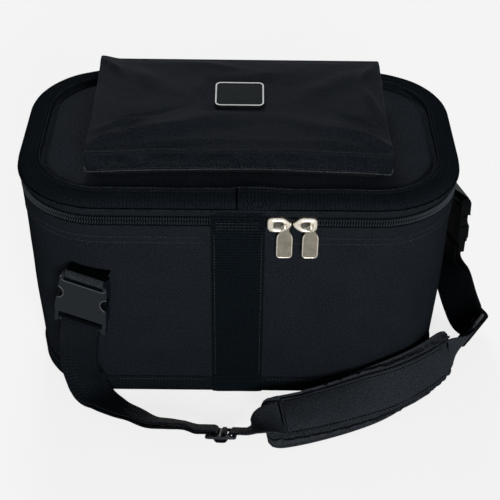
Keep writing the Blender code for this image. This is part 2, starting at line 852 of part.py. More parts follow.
def side_tab(name, frame, standoff, slope, seat):
    """Webbing tab: from the wall down to the receptacle's bar, round it and back to the wall."""
    reach = buckle_bar * math.sqrt(1 / 2) + fit_gap
    radius = reach + side_tab_thickness
    inside = 2 * standoff
    outer = [(inside, radius)]
    inner = [(inside, reach)]
    for step in range(turn_steps + 1):
        bearing = math.radians(90 + 180 * step / turn_steps)
        outer.append((radius * math.cos(bearing), radius * math.sin(bearing)))
        inner.append((reach * math.cos(bearing), reach * math.sin(bearing)))
    outer.append((inside, -radius))
    inner.append((inside, -reach))
    half = webbing_width / 2
    tab = extrusion(name, outer + inner[::-1], -half, half, 'X', webbing())
    bar = Matrix.Translation((0, -standoff, -buckle_bar / 2))
    tab.matrix_world = frame @ bar @ Matrix.Rotation(slope, 4, 'X')
    combine(tab, seat, 'DIFFERENCE')
    return tab


def wall_seat(name):
    """The shell's outer face grown by the fit gap: what is sewn to the wall is cut back to it."""
    low, high = -cut_overrun, wall_top
    profile = ((wall_inset(low) - fit_gap, low), (wall_inset(high) - fit_gap, high))
    seat = rim_plate(name, profile, nylon())
    hide_cutter(seat)
    return seat


def left_frame():
    """Frame of the left buckle: its tab leaves the front left corner of the wall."""
    x_share, z_share = left_anchor_shares
    z = z_share * wall_top
    x = x_share * half_length
    inset = wall_inset(z)
    across = half_length - corner_radius
    radius = corner_radius - inset
    y = -(half_width - corner_radius) - math.sqrt(radius ** 2 - (abs(x) - across) ** 2)
    turn = Matrix.Rotation(left_buckle_turn, 4, 'Z') @ Matrix.Rotation(left_buckle_tilt, 4, 'Y')
    return Matrix.Translation((x, y, z)) @ turn


def right_frame():
    """Frame of the right buckle: its tab leaves the flat of the right side."""
    y_share, z_share = right_anchor_shares
    z = z_share * wall_top
    place = (half_length - wall_inset(z), y_share * half_width, z)
    return Matrix.Translation(place) @ Matrix.Rotation(right_buckle_turn, 4, 'Z')


# Ribbons: rows of frames, each a middle, a direction across and a normal


def unit(vector):
    return vector / np.linalg.norm(vector)


def scaled(x, y, z):
    """A place given in shares of half the length, half the width and the webbing's width."""
    return np.array((x * half_length, y * half_width, z * webbing_width))


def curve_through(rows, step_length):
    """Smooth curve through rows of numbers that start with a place, in steps of about the given length."""
    rows = np.array(rows, dtype=float)
    lengths = np.linalg.norm(np.diff(rows[:, :3], axis=0), axis=1)
    changes = np.diff(rows, axis=0) / lengths[:, None]
    weights = lengths[:, None]
    inside = (changes[:-1] * weights[1:] + changes[1:] * weights[:-1]) / (weights[:-1] + weights[1:])
    slopes = np.vstack((changes[:1], inside, changes[-1:]))
    made = []
    for index, length in enumerate(lengths):
        steps = max(round(length / step_length), 1)
        for step in range(steps):
            t = step / steps
            rise = t * t * (3 - 2 * t)
            made.append(rows[index] * (1 - rise) + rows[index + 1] * rise
                        + length * t * (1 - t) * (slopes[index] * (1 - t) - slopes[index + 1] * t))
    made.append(rows[-1])
    return np.array(made)


def frames_along(middles, acrosses):
    """Frames on a row of middles: the direction across is squared up to the path."""
    frames = []
    tangents = np.gradient(np.array(middles), axis=0)
    for middle, across, tangent in zip(middles, acrosses, tangents):
        tangent = unit(tangent)
        across = unit(across - tangent * np.dot(across, tangent))
        frames.append((middle, across, np.cross(tangent, across)))
    return frames


def sweep_section(name, frames, section_at, skin):
    """Solid swept through frames; section_at(index) gives a closed loop of (across, out) points."""
    builder = bmesh.new()
    rings, sections = [], []
    for index, (middle, across, normal) in enumerate(frames):
        section = section_at(index)
        sections.append(section)
        rings.append([builder.verts.new(middle + across * v + normal * m) for v, m in section])
    width = len(rings[0])
    for index in range(len(rings) - 1):
        first, second, section = rings[index], rings[index + 1], sections[index]
        for side in range(width):
            after = (side + 1) % width
            if section[side][0] <= section[after][0]:
                builder.faces.new((first[side], second[side], second[after]))
                builder.faces.new((first[side], second[after], first[after]))
            else:
                builder.faces.new((first[side], second[side], first[after]))
                builder.faces.new((second[side], second[after], first[after]))
    builder.faces.new(rings[0])
    builder.faces.new(rings[-1])
    return finish_object(name, builder, skin)


def strip_section(width, thickness):
    """Cross-section of webbing."""
    half, deep = width / 2, thickness / 2
    return ((-half, -deep), (0, -deep), (half, -deep), (half, deep), (0, deep), (-half, deep))


def arc(centre, radius, start, end, steps):
    """Points on an arc in a plane, bearings in degrees."""
    points = []
    for step in range(steps + 1):
        bearing = math.radians(start + (end - start) * step / steps)
        points.append((centre[0] + radius * math.cos(bearing), centre[1] + radius * math.sin(bearing)))
    return points


def adjuster_frame(shares):
    """Middle, strap direction, direction across and normal of an adjuster."""
    x, y, z, across, along = shares
    along = unit(np.array(along))
    across = np.array(across)
    across = unit(across - along * np.dot(across, along))
    return scaled(x, y, z), along, across, np.cross(across, along)


def webbing_wrap():
    """Distance from an adjuster bar's face to the middle of the webbing round it."""
    return webbing_thickness / 2 + layer_gap


def thread_over():
    """Path of the running layer through an adjuster, as (along, out): under, over the bar, under."""
    half_bar, deep, wrap = adjuster_bar / 2, adjuster_thickness / 2, webbing_wrap()
    inner_edge = half_bar + adjuster_slot
    outside = thread_reach()
    low = -deep - wrap
    entry = [(-outside, low), (-(adjuster_width / 2), low)]
    entry += arc((-inner_edge, -deep), wrap, -90, -40, 3)
    entry += arc((-half_bar, deep), wrap + layer_pitch, 150, 90, 4)
    leave = [(-along, out) for along, out in reversed(entry)]
    return entry + leave


def thread_sewn():
    """Path of the sewn end: under the outer bar, up and round the middle bar."""
    half_bar, deep, wrap = adjuster_bar / 2, adjuster_thickness / 2, webbing_wrap()
    outside = thread_reach()
    drop = deep + wrap + layer_pitch
    rise = half_bar + wrap + drop
    path = [(-outside, -drop), (-adjuster_width / 2, -drop)]
    path += arc((-rise, 0), drop, -90, -20, 5)
    path += arc((-half_bar, deep), wrap, 180, 90, 3)
    path += arc((half_bar, deep), wrap, 90, 0, 3)
    path += arc((half_bar, -deep), wrap, 0, -90, 3)
    path.append((0, -deep - wrap))
    return path


def strap_run(name, buckle_frame, standoff, hang_shares, run_shares, adjuster_shares):
    """Both layers between a buckle and its adjuster, one webbing: threaded, up, round the bar, back, sewn."""
    turn = np.array(buckle_frame.to_3x3())
    bar = np.array(buckle_frame @ Vector((0, -standoff, plug_bar_depth())))
    start_across, start_down, start_out = turn[:, 0], -turn[:, 2], -turn[:, 1]
    wrap = plug_bar_radius + fit_gap + webbing_thickness / 2
    centre, along, across, out = adjuster_frame(adjuster_shares)
    mean_drop = -(adjuster_thickness / 2 + webbing_wrap() + layer_pitch / 2)
    rows = [(*bar, *start_across, wrap), (*(bar + start_down * webbing_width / 6), *start_across, wrap)]
    places = [((x * half_length, y * half_width, z * bar[2]), *rest) for x, y, z, *rest in hang_shares]
    places += [(scaled(x, y, z), *rest) for x, y, z, *rest in run_shares]
    for place, direction, spacing in places:
        rows.append((*place, *unit(np.array(direction)), spacing * webbing_width))
    entry = centre + out * mean_drop - along * thread_reach()
    rows.append((*(entry - along * webbing_width / 6), *across, layer_pitch / 2))
    rows.append((*entry, *across, layer_pitch / 2))
    samples = curve_through(rows, run_step)
    route = frames_along(samples[:, :3], samples[:, 3:6])
    spacings = samples[:, 6]
    inner = [(middle - normal * space, side, -normal) for (middle, side, normal), space in zip(route, spacings)]
    outer = [(middle + normal * space, side, normal) for (middle, side, normal), space in zip(route, spacings)]
    around = []
    for step in range(1, turn_steps):
        bearing = math.pi * step / turn_steps
        spoke = -math.cos(bearing) * start_out - math.sin(bearing) * start_down
        around.append((bar + wrap * spoke, start_across, spoke))
    threaded = plane_frames(thread_over(), centre, along, across, out)
    over = [(place, side, -normal) for place, side, normal in threaded]
    sewn = plane_frames(thread_sewn(), centre, along, across, out)
    frames = over[::-1][:-1] + inner[::-1] + around + outer[:-1] + sewn
    section = strip_section(webbing_width, webbing_thickness)
    return sweep_section(name, frames, lambda index: section, webbing())


def thread_reach():
    """Distance along the strap from an adjuster's middle to where its threading ends."""
    return adjuster_width / 2 + webbing_width / 12


def plane_frames(points, centre, along, across, out):
    """Frames for a path drawn in the plane of the strap's direction and the adjuster's normal."""
    places = np.array(points)
    tangents = np.gradient(places, axis=0)
    frames = []
    for (a, b), (step_a, step_b) in zip(places, tangents):
        normal = unit(step_b * along - step_a * out)
        frames.append((centre + along * a + out * b, across, normal))
    return frames


def adjuster(name, shares):
    """Flat three-bar slide for the strap."""
    centre, along, across, out = adjuster_frame(shares)
    outline = rounded_rectangle(adjuster_length, adjuster_width, adjuster_corner)
    deep = adjuster_thickness / 2
    body = extrusion(name, outline, -deep, deep, 'Z', moulded_plastic())
    items = [body]
    half = webbing_width / 2 + 4 * fit_gap
    near = adjuster_bar / 2
    for index, side in enumerate((-1, 1)):
        low, high = sorted((side * near, side * (near + adjuster_slot)))
        slot = box(name + "_slot" + str(index), (-half, low, -deep - cut_overrun), (half, high, deep + cut_overrun),
                   moulded_plastic())
        combine(body, slot, 'DIFFERENCE')
        items.append(slot)
    turn = Matrix((across, along, out)).transposed().to_4x4()
    frame = Matrix.Translation(centre) @ turn
    for item in items:
        item.matrix_world = frame
    return body


# Shoulder pad


def pad_rows():
    """Middle of the pad and direction across it, standing on its lower edge."""
    rows = []
    for x, y, across in pad_route_shares:
        across = unit(np.array(across))
        z = across[2] * pad_width / 2 + pad_edge + pad_floor_gap
        rows.append((x * half_length, y * half_width, z, *across))
    return rows


def pad_frames():
    """Frames along the pad and how far along it each lies, as a share."""
    samples = curve_through(pad_rows(), pad_step)
    frames = frames_along(samples[:, :3], samples[:, 3:6])
    lengths = np.linalg.norm(np.diff(samples[:, :3], axis=0), axis=1)
    travelled = np.concatenate(([0], np.cumsum(lengths)))
    return frames, travelled


def pad_section(distance, total):
    """Closed loop of (across, out): crowned, thin at its bound edges, with the sewn channel's grooves."""
    nearest = min(distance, total - distance)
    end = min(nearest / pad_end_round, 1)
    swell = math.sqrt(max(1 - (1 - end) ** 2, 0))
    narrow = pad_end_round * (1 - swell) / 2
    draw = pad_draw * math.sin(math.pi * distance / total)
    half = pad_width / 2 - narrow - draw
    puff = pad_end_puff_share + (1 - pad_end_puff_share) * swell
    top = pad_edge + (pad_top - pad_edge) * puff
    under = pad_edge + (pad_under - pad_edge) * puff
    flat = min(channel_half, half - pad_margin * 3 / 4)
    groove = flat + pad_margin / 6
    roll = half - pad_margin / 3
    upper = ((half, 0), (half - pad_edge, pad_edge), (roll, top * 3 / 4), (groove + pad_margin / 6, top * 9 / 10),
             (groove, top - pad_channel_depth * puff), (flat, top))
    lower = ((half - pad_edge, -pad_edge), (roll, -under * 2 / 3), (half / 2, -under))
    loop = list(upper)
    loop.append((0, top))
    loop += [(-v, m) for v, m in reversed(upper)]
    loop += [(-v, m) for v, m in lower]
    loop += [(v, m) for v, m in reversed(lower)]
    return loop


def shoulder_pad():
    frames, travelled = pad_frames()
    total = travelled[-1]
    return sweep_section("shoulder_pad", frames, lambda index: pad_section(travelled[index], total), nylon())


def channel_span():
    """First and last frame of the sewn channel on the pad."""
    frames, travelled = pad_frames()
    total = travelled[-1]
    inside = [index for index, place in enumerate(travelled)
              if channel_start_share * total <= place <= channel_end_share * total]
    return frames, inside[0], inside[-1]


def pad_channel():
    """Strip of cloth sewn over the strap along the pad."""
    frames, first, last = channel_span()
    wide = channel_half - fit_gap
    slim = wide - channel_cloth
    foot = pad_top + fit_gap
    ceiling = channel_top - channel_cloth
    shoulder = channel_top - channel_cloth / 2
    section = ((slim, foot), (wide, foot), (wide, shoulder), (slim, channel_top), (0, channel_top),
               (-slim, channel_top), (-wide, shoulder), (-wide, foot), (-slim, foot), (-slim, ceiling),
               (0, ceiling), (slim, ceiling))
    return sweep_section("pad_channel", frames[first:last + 1], lambda index: section, nylon())


def strap_lead(adjuster_shares, lead_shares, on_pad, sense):
    """Frames from an adjuster to the pad; sense is 1 where the strap's direction across is the adjuster's."""
    centre, along, across, out = adjuster_frame(adjuster_shares)
    low = -(adjuster_thickness / 2 + webbing_wrap())
    begin = centre + out * low + along * (thread_reach() + fit_gap)
    side = sense * across
    rows = [(*begin, *side), (*(begin + along * webbing_width / 8), *side)]
    for x, y, z, direction in lead_shares:
        rows.append((*scaled(x, y, z), *unit(np.array(direction))))
    rows += [(*middle, *pad_side) for middle, pad_side, normal in on_pad]
    samples = curve_through(rows, run_step)
    end = int(np.argmin(np.linalg.norm(samples[:, :3] - on_pad[0][0], axis=1)))
    frames = frames_along(samples[:, :3], samples[:, 3:6])[1:end]
    return [(begin, side, -sense * out)] + frames


def strap_middle():
    """The strap from one adjuster to the other, through the pad's channel."""
    frames, first, last = channel_span()
    height = pad_top + fit_gap + webbing_thickness / 2
    on_pad = [(middle + normal * height, across, normal) for middle, across, normal in frames[first:-1]]
    lead_in = strap_lead(left_adjuster_shares, left_lead_shares, on_pad[:2], 1)
    lead_out = strap_lead(right_adjuster_shares, (), on_pad[:-3:-1], -1)
    lead_out = [(middle, across, -normal) for middle, across, normal in reversed(lead_out)]
    section = strip_section(webbing_width, webbing_thickness)
    return sweep_section("strap_middle", lead_in + on_pad + lead_out, lambda index: section, webbing())


# Assembly


def build_shell():
    seat = wall_seat("wall_seat")
    side_wall()
    wall_lining()
    base_panel()
    base_lining()
    bottom_binding()
    front_web()
    hinge_strip()
    zipper_half("lower", -1, hinge_strip_length / 2 + fit_gap)
    return seat


def build_lid():
    """Lid pieces on an empty at the fabric hinge behind the back wall."""
    hinge = pivot("lid_hinge", (0, half_width, zip_height))
    pieces = [lid_gusset(), lid_panel(), lid_lining(), lid_border(), pocket_walls()]
    pieces += zipper_half("upper", 1, hinge_strip_length / 2 + fit_gap)
    loop, hook = touch_tapes()
    pieces.append(loop)
    flap_hinge = pivot("flap_hinge", (0, pocket_rear, pocket_roof(pocket_rear)))
    flap = pocket_flap()
    for piece in (flap, hook, badge()):
        attach(piece, flap_hinge)
    for piece in pieces + [flap_hinge]:
        attach(piece, hinge)


def build_sliders():
    for side, middle in (("left", slider_middle_left), ("right", slider_middle_right)):
        body = slider("slider_" + side, middle)
        attach(pull("pull_" + side, middle), body)


def build_strap(seat):
    sides = (
        ("left", left_frame(), left_standoff, left_tab_slope, left_hang_shares, left_run_shares),
        ("right", right_frame(), right_standoff, right_tab_slope, right_hang_shares, ()),
    )
    adjusters = {"left": left_adjuster_shares, "right": right_adjuster_shares}
    for side, frame, standoff, slope, hang, run in sides:
        side_tab(side + "_tab", frame, standoff, slope, seat)
        receptacle(side + "_receptacle", frame, standoff)
        plug(side + "_plug", frame, standoff)
        release_arm(side + "_arm_a", -1, frame, standoff)
        release_arm(side + "_arm_b", 1, frame, standoff)
        strap_run("strap_" + side, frame, standoff, hang, run, adjusters[side])
        adjuster(side + "_adjuster", adjusters[side])
    shoulder_pad()
    pad_channel()
    strap_middle()


def main():
    clear_scene()
    seat = build_shell()
    build_lid()
    build_sliders()
    build_strap(seat)


main()
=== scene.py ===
import math

import bmesh
import bpy
import numpy as np
from mathutils import Matrix, Vector, noise


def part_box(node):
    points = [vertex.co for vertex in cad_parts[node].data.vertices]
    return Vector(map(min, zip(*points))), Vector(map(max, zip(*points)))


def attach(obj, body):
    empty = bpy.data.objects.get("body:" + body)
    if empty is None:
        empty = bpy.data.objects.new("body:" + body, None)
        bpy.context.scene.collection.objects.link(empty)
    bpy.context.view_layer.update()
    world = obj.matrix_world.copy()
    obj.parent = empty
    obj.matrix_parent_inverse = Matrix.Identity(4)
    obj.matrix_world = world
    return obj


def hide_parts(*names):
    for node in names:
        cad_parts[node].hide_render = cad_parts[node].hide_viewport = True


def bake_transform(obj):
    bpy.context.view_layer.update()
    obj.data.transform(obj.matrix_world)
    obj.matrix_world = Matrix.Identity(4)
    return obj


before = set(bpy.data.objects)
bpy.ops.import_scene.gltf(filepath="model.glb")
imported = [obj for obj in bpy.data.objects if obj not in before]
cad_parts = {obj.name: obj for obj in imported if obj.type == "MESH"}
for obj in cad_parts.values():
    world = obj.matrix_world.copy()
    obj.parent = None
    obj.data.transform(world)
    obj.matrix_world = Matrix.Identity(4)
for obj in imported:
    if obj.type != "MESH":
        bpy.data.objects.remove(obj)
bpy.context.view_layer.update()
scene = bpy.context.scene

# Sizes shared with the solids, in metres
HALF_LENGTH, HALF_WIDTH, CORNER = .210, .1215, .082
WALL_TOP, ZIP_Z, LID_PLANE = .2137, .2195, .2399
INSET_TOP, INSET_BASE, WALL_THICK = .0016, .0075, .007
TOOTH_FRONT, TAPE_FRONT, TAPE_BACK = .000533, .002433, .003633
HINGE_HALF, WEB_HALF, GAP = .113, .025, .0003
POCKET_HALF, POCKET_FRONT, POCKET_REAR = .138, -.074, .072
ROOF_FRONT, ROOF_REAR = .2609, .2789
NEAR_FRONT, WEB_CLEAR = -HALF_WIDTH + .001, .026
FULL_TURN = 2 * math.pi


# Materials


class Signal:
    """A socket of a shader tree, with arithmetic."""

    def __init__(self, tree, socket):
        self.tree, self.socket = tree, socket

    def math(self, operation, *others):
        made = node(self.tree, "ShaderNodeMath", operation=operation)
        for socket, value in zip(made.inputs, (self, *others)):
            fill(socket, value)
        return Signal(self.tree, made.outputs[0])

    def __add__(self, other):
        return self.math('ADD', other)

    def __sub__(self, other):
        return self.math('SUBTRACT', other)

    def __mul__(self, other):
        return self.math('MULTIPLY', other)


def node(tree, kind, **values):
    made = tree.nodes.new(kind)
    for key, value in values.items():
        setattr(made, key, value)
    return made


def fill(socket, value):
    """Link a signal to a socket, or write a number or colour there."""
    if isinstance(value, Signal):
        value.tree.links.new(value.socket, socket)
    else:
        socket.default_value = value


def noise_of(place, size, detail=3.0, roughness=.55):
    made = node(place.tree, "ShaderNodeTexNoise")
    for key, value in (("Scale", 1 / size), ("Detail", detail), ("Roughness", roughness), ("Vector", place)):
        fill(made.inputs[key], value)
    return Signal(place.tree, made.outputs["Fac"])


def wave(coordinate, pitch):
    """A sine of one coordinate, from 0 to 1."""
    return (coordinate * (FULL_TURN / pitch)).math('SINE').math('MULTIPLY_ADD', .5, .5)


def ramp(factor, low, high):
    """Mix of two colours, each a colour or a signal."""
    made = node(factor.tree, "ShaderNodeMix", data_type='RGBA', clamp_factor=True)
    for key, value in (("A", low), ("B", high), ("Factor", factor)):
        fill(made.inputs[key], value if isinstance(value, Signal) else (*value, 1))
    return Signal(factor.tree, made.outputs["Result"])


def spread_of(factor, colour, spread):
    return ramp(factor, [c * (1 - spread) for c in colour], [min(c * (1 + spread), 1) for c in colour])


def begin(name, mapped):
    """A material, and its coordinates in millimetres: along and across a mapped cloth, or the object's."""
    made = bpy.data.materials.new(name)
    made.use_nodes = True
    if mapped:
        source = node(made.node_tree, "ShaderNodeUVMap", uv_map="cloth").outputs["UV"]
    else:
        source = node(made.node_tree, "ShaderNodeTexCoord").outputs["Object"]
    place = node(made.node_tree, "ShaderNodeVectorMath", operation='SCALE')
    place.inputs[3].default_value = 1000
    made.node_tree.links.new(source, place.inputs[0])
    return made, Signal(made.node_tree, place.outputs[0])


def complete(made, colour, polish, swing, roughness, height, strength, relief, **values):
    """Colour, an uneven polish and a bump; values go on the shader's own sockets."""
    shader = made.node_tree.nodes["Principled BSDF"]
    fill(shader.inputs["Base Color"], colour)
    fill(shader.inputs["Roughness"], polish.math('MULTIPLY_ADD', swing, roughness - swing / 2))
    bump = node(made.node_tree, "ShaderNodeBump")
    for key, value in (("Strength", strength), ("Distance", relief / 1000), ("Height", height)):
        fill(bump.inputs[key], value)
    made.node_tree.links.new(bump.outputs[0], shader.inputs["Normal"])
    for key, value in values.items():
        shader.inputs[key.replace("_", " ")].default_value = value
    return made


CLOTH_ROUGHNESS, RIB, ROW_PITCH = .62, 3.1, 3.3


def cloth(slot, name, colour, pitch, ribbed=False, mapped=True, relief=.10, sheen=0.0, spread=.62, shine=.028,
          rows=0.0):
    """Woven cloth: a plain weave, or the chevron ribs of webbing, with uneven dye and lint; rows paints highlights as
    glinting dashes along the ribs, and the weave's hollows get a little painted shade.
    """
    made, place = begin(name, mapped)
    split = node(place.tree, "ShaderNodeSeparateXYZ")
    fill(split.inputs[0], place)
    along, across, up = (Signal(place.tree, output) for output in split.outputs)
    if not mapped:
        along, across = along + across, up + across
    slanted = along
    if ribbed:
        slanted = along + across.math('PINGPONG', RIB) * .45
        height = wave(slanted, pitch) + wave(across, RIB) * .35
    else:
        warp, weft = ((way * (FULL_TURN / pitch)).math('SINE') for way in (along, across))
        height = (warp * weft).math('MULTIPLY_ADD', .5, .5)
    height = height + noise_of(place, pitch * 1.6, 2.0) * 1.4
    fine = noise_of(place, 1.8, 3.0, .8)
    # The tone is a little darker where the weave's bump is low: painted shade in the weave's hollows.
    tone = noise_of(place, 34.0) * .6 + fine * 4.9 + height * .15 - 2.35
    toned = spread_of(tone, colour, spread)
    if rows:
        # Painted highlight: pale dashes along the rib rows stand for glints of light on the ribs; rows sets how strong
        # they are.
        painted_glints = wave(slanted, ROW_PITCH) * noise_of(place, 2.4, 3.0, .7)
        toned = ramp(painted_glints.math('POWER', 1.7) * rows, toned, [c * 4.5 for c in colour])
    return complete(made, toned, fine, .16, CLOTH_ROUGHNESS, height, .65, relief, Sheen_Weight=sheen,
                    Sheen_Roughness=.45, Specular_IOR_Level=shine)


def hard(name, colour, roughness, metallic=0.0, grain=.5, relief=.02, spread=.15, shine=.25):
    """Moulded plastic or plated metal: faint flow marks, rubbing and an uneven polish."""
    made, place = begin(name, False)
    broad = noise_of(place, 7.0)
    return complete(made, spread_of(broad, colour, spread), broad, .18, roughness, noise_of(place, grain, 2.0), .4,
                    relief, Metallic=metallic, Specular_IOR_Level=shine)


def seam(name, colour, pitch=.9, relief=.10, shine=0.0):
    return cloth("webbing", name, colour, pitch, mapped=False, relief=relief, shine=shine)


def ribs(name, colour, pitch=1.8, relief=.40, **values):
    return cloth("webbing", name, colour, pitch, True, relief=relief, **values)


def metal(name, colour, roughness, grain, relief, spread, shine=.5):
    return hard(name, colour, roughness, 1.0, grain, relief, spread, shine)


NYLON = cloth("nylon", "nylon_cloth", (.0068, .0088, .0118), .62)
WALL_CLOTH = cloth("nylon", "wall_cloth", (.0106, .0130, .0166), .62, shine=0.0, spread=.40)
LID_CLOTH = cloth("nylon", "lid_cloth_weave", (.0108, .0136, .0178), .62, shine=.012)
PAD_CLOTH = cloth("nylon", "pad_cloth", (.0250, .0290, .0345), .62, spread=.42, shine=.01)
LINING = cloth("lining_cloth", "lining", (.030, .032, .036), .5)
TAPE = cloth("webbing", "zip_tape", (.0030, .0042, .0056), .8, relief=.08, shine=0.0)
TOUCH = cloth("touch_tape", "touch_fastener", (.0070, .0080, .0095), .9, relief=.5, sheen=.02)
BINDING = ribs("binding_tape", (.0048, .0065, .0084), 1.6, .20, rows=.7, shine=0.0)
WEBBING = ribs("strap_webbing", (.0023, .0032, .0044), rows=1.7)
WEBBING_DARK = ribs("shaded_webbing", (.0012, .0017, .0023), rows=.9, shine=.015)
WEBBING_PALE = ribs("sewn_webbing", (.0200, .0234, .0282), rows=.3, shine=.01, spread=.45)
FRONT_WEB = ribs("front_webbing", (.0022, .0034, .0045), relief=.35, rows=1.5, shine=.004)
SLEEVE = ribs("sleeve_webbing", (.0190, .0224, .0270), 1.15, .22, spread=.42, shine=.01)
# The tab's webbing in two copies: near black as painted shade on its top and back, pale as painted light on the roll
# that faces out.
TAB_PAINTED_SHADE = seam("tab_webbing", (.0012, .0017, .0022), 1.6, .25)
TAB_PAINTED_LIGHT = seam("tab_painted_light", (.0200, .0235, .0280), 1.6, .40, .05)
# Near black: the sleeve's dark thread, and painted shade where cords stand for shadow lines at the lap, under the
# border and at the sleeve's ends.
DARK_THREAD_AND_SHADE = seam("dark_thread_and_painted_shade", (.0010, .0013, .0017))
THREAD = seam("thread", (.0260, .0290, .0330), .35, .06, .028)
# Painted highlight: the pale line along the flap's rolled hem.
HEM_HIGHLIGHT = seam("hem_painted_highlight", (.0420, .0450, .0490), .6, .06, .028)
PIPE_CLOTH = seam("piping_cloth", (.0098, .0122, .0152))
# Pale: the border's thread, and painted highlight on the lid's rolled edge and on the flap's front fold.
PALE_THREAD_AND_HIGHLIGHT = seam("edge_cord", (.0150, .0182, .0220))
PLASTIC = hard("moulded_black", (.0040, .0074, .0108), .36, grain=.35, shine=.13)
# A near-black copy of the plastic: painted shade, for the catches sunk in the windows and for the right buckle, which
# stands in the wall's shade.
PLASTIC_PAINTED_SHADE = hard("plastic_painted_shade", (.0012, .0016, .0021), .45, grain=.35, shine=.03)
# Pale plastic for buckle edges and rims: painted highlight, lit lines along the edges.
PLASTIC_HIGHLIGHT = hard("plastic_edge_highlight", (.0560, .0620, .0690), .32, grain=.35, shine=.22)
# The coil's own dark nylon, lightened to paint the glints on its beads: partly its colour, partly painted highlight.
COIL = hard("zip_nylon", (.0340, .0400, .0470), .40, grain=.3, shine=.03)
NICKEL = metal("nickel_plate", (.72, .67, .58), .30, .8, .05, .25)
PULL_PLATE = metal("pull_plate", (.42, .395, .335), .34, .9, .08, .30)
PULL_FIELD = metal("pull_field", (.24, .218, .180), .40, .7, .14, .40)
NICKEL_DEEP = metal("nickel_shade", (.10, .095, .085), .45, .8, .05, .3, .25)
BADGE_BODY = hard("badge_body", (.005, .007, .008), .55, grain=.4, shine=.03)
BADGE_FIELD = hard("badge_field", (.0085, .0125, .0135), .60, relief=.05, shine=.03)
BADGE_RIM = hard("badge_rim", (.78, .79, .79), .50, shine=.1)


# Mesh helpers


def mm(*rows):
    """Rows written in millimetres, in metres."""
    return [tuple(value / 1000 for value in row) for row in rows]


def with_normals(mesh):
    builder = bmesh.new()
    builder.from_mesh(mesh)
    bmesh.ops.recalc_face_normals(builder, faces=builder.faces)
    builder.to_mesh(mesh)
    builder.free()


def shown(name, mesh, materials):
    mesh.shade_smooth()
    for material in materials:
        mesh.materials.append(material)
    made = bpy.data.objects.new(name, mesh)
    scene.collection.objects.link(made)
    return made


def piece(name, vertices, faces, material, body, stands_for=(), uvs=None, angle=50, slot=None, skin=None, kinds=None,
          finishes=()):
    """One visible mesh, smooth and riding on its body. uvs is one (along, across) for each vertex, skin the
    thickness of a sheet, and kinds picks each face's finish where there are more."""
    mesh = bpy.data.meshes.new(name)
    mesh.from_pydata([tuple(v) for v in vertices], [], [tuple(f) for f in faces])
    mesh.update()
    if uvs is not None:
        corners = np.zeros(len(mesh.loops), dtype=np.int32)
        mesh.loops.foreach_get("vertex_index", corners)
        layer = mesh.uv_layers.new(name="cloth")
        layer.uv.foreach_set("vector", np.array(uvs, dtype=np.float32)[corners].ravel())
    with_normals(mesh)
    made = shown(name, mesh, (material,))
    if skin:
        step = made.modifiers.new("skin", 'SOLIDIFY')
        step.thickness, step.offset, step.use_even_offset = skin, -1.0, True
        freeze(made)
    made.data.set_sharp_from_angle(angle=math.radians(angle))
    for finish in finishes:
        made.data.materials.append(finish)
    if kinds:
        made.data.polygons.foreach_set("material_index", kinds)
    if stands_for:
        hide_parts(*stands_for)
    if body:
        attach(made, body)
    return made


def freeze(item):
    """Apply the modifiers."""
    graph = bpy.context.evaluated_depsgraph_get()
    graph.update()
    old = item.data
    done = bpy.data.meshes.new_from_object(item.evaluated_get(graph))
    item.modifiers.clear()
    item.data = done
    bpy.data.meshes.remove(old)


def ring_faces(count, width, closed=False, offset=0):
    """Quads between rings of width points; caps where the row of rings is open."""
    faces = []
    for ring in range(count if closed else count - 1):
        first, second = offset + ring * width, offset + ((ring + 1) % count) * width
        for side in range(width):
            after = (side + 1) % width
            faces.append((first + side, second + side, second + after, first + after))
    if not closed:
        faces.append(tuple(offset + side for side in range(width)))
        faces.append(tuple(offset + (count - 1) * width + side for side in reversed(range(width))))
    return faces


def loft(name, rings, material, body, stands_for=(), closed=False, **more):
    """A skin over rings of (place, (along, across))."""
    points = [point for ring in rings for point in ring]
    faces = ring_faces(len(rings), len(rings[0]), closed)
    return piece(name, [p[0] for p in points], faces, material, body, stands_for, [p[1] for p in points], **more)


def turned(ring):
    return ring[1:] + ring[:1]


def stacked(rings, width):
    """Faces of closed rings of points that lie one after another, capped at both ends."""
    rows = [list(range(ring * width, (ring + 1) * width)) for ring in range(rings)]
    faces = []
    for lower, upper in zip(rows, rows[1:]):
        faces += zip(lower, turned(lower), turned(upper), upper)
    return faces + [tuple(rows[0]), tuple(rows[-1])]


def wander(x, y, z, size, seed=0.0):
    """Smooth noise from -1 to 1."""
    return noise.noise(Vector((x / size + seed, y / size - seed, z / size + 2 * seed)))


def smooth_step(low, high, value):
    share = min(max((value - low) / (high - low), 0), 1)
    return share * share * (3 - 2 * share)


def bump_at(value, centre, half):
    """A smooth hump of height 1."""
    share = min(abs(value - centre) / half, 1)
    return (1 - share * share) ** 2


def unit(vector):
    return vector / np.linalg.norm(vector)


def travel(points):
    """Length travelled along points, at each of them."""
    steps = np.linalg.norm(np.diff(np.array(points, dtype=float), axis=0), axis=1)
    return np.concatenate(([0], np.cumsum(steps)))


def arc(centre, radius, start, end, steps):
    bearings = [math.radians(start + (end - start) * step / steps) for step in range(steps + 1)]
    return [(centre[0] + radius * math.cos(b), centre[1] + radius * math.sin(b)) for b in bearings]


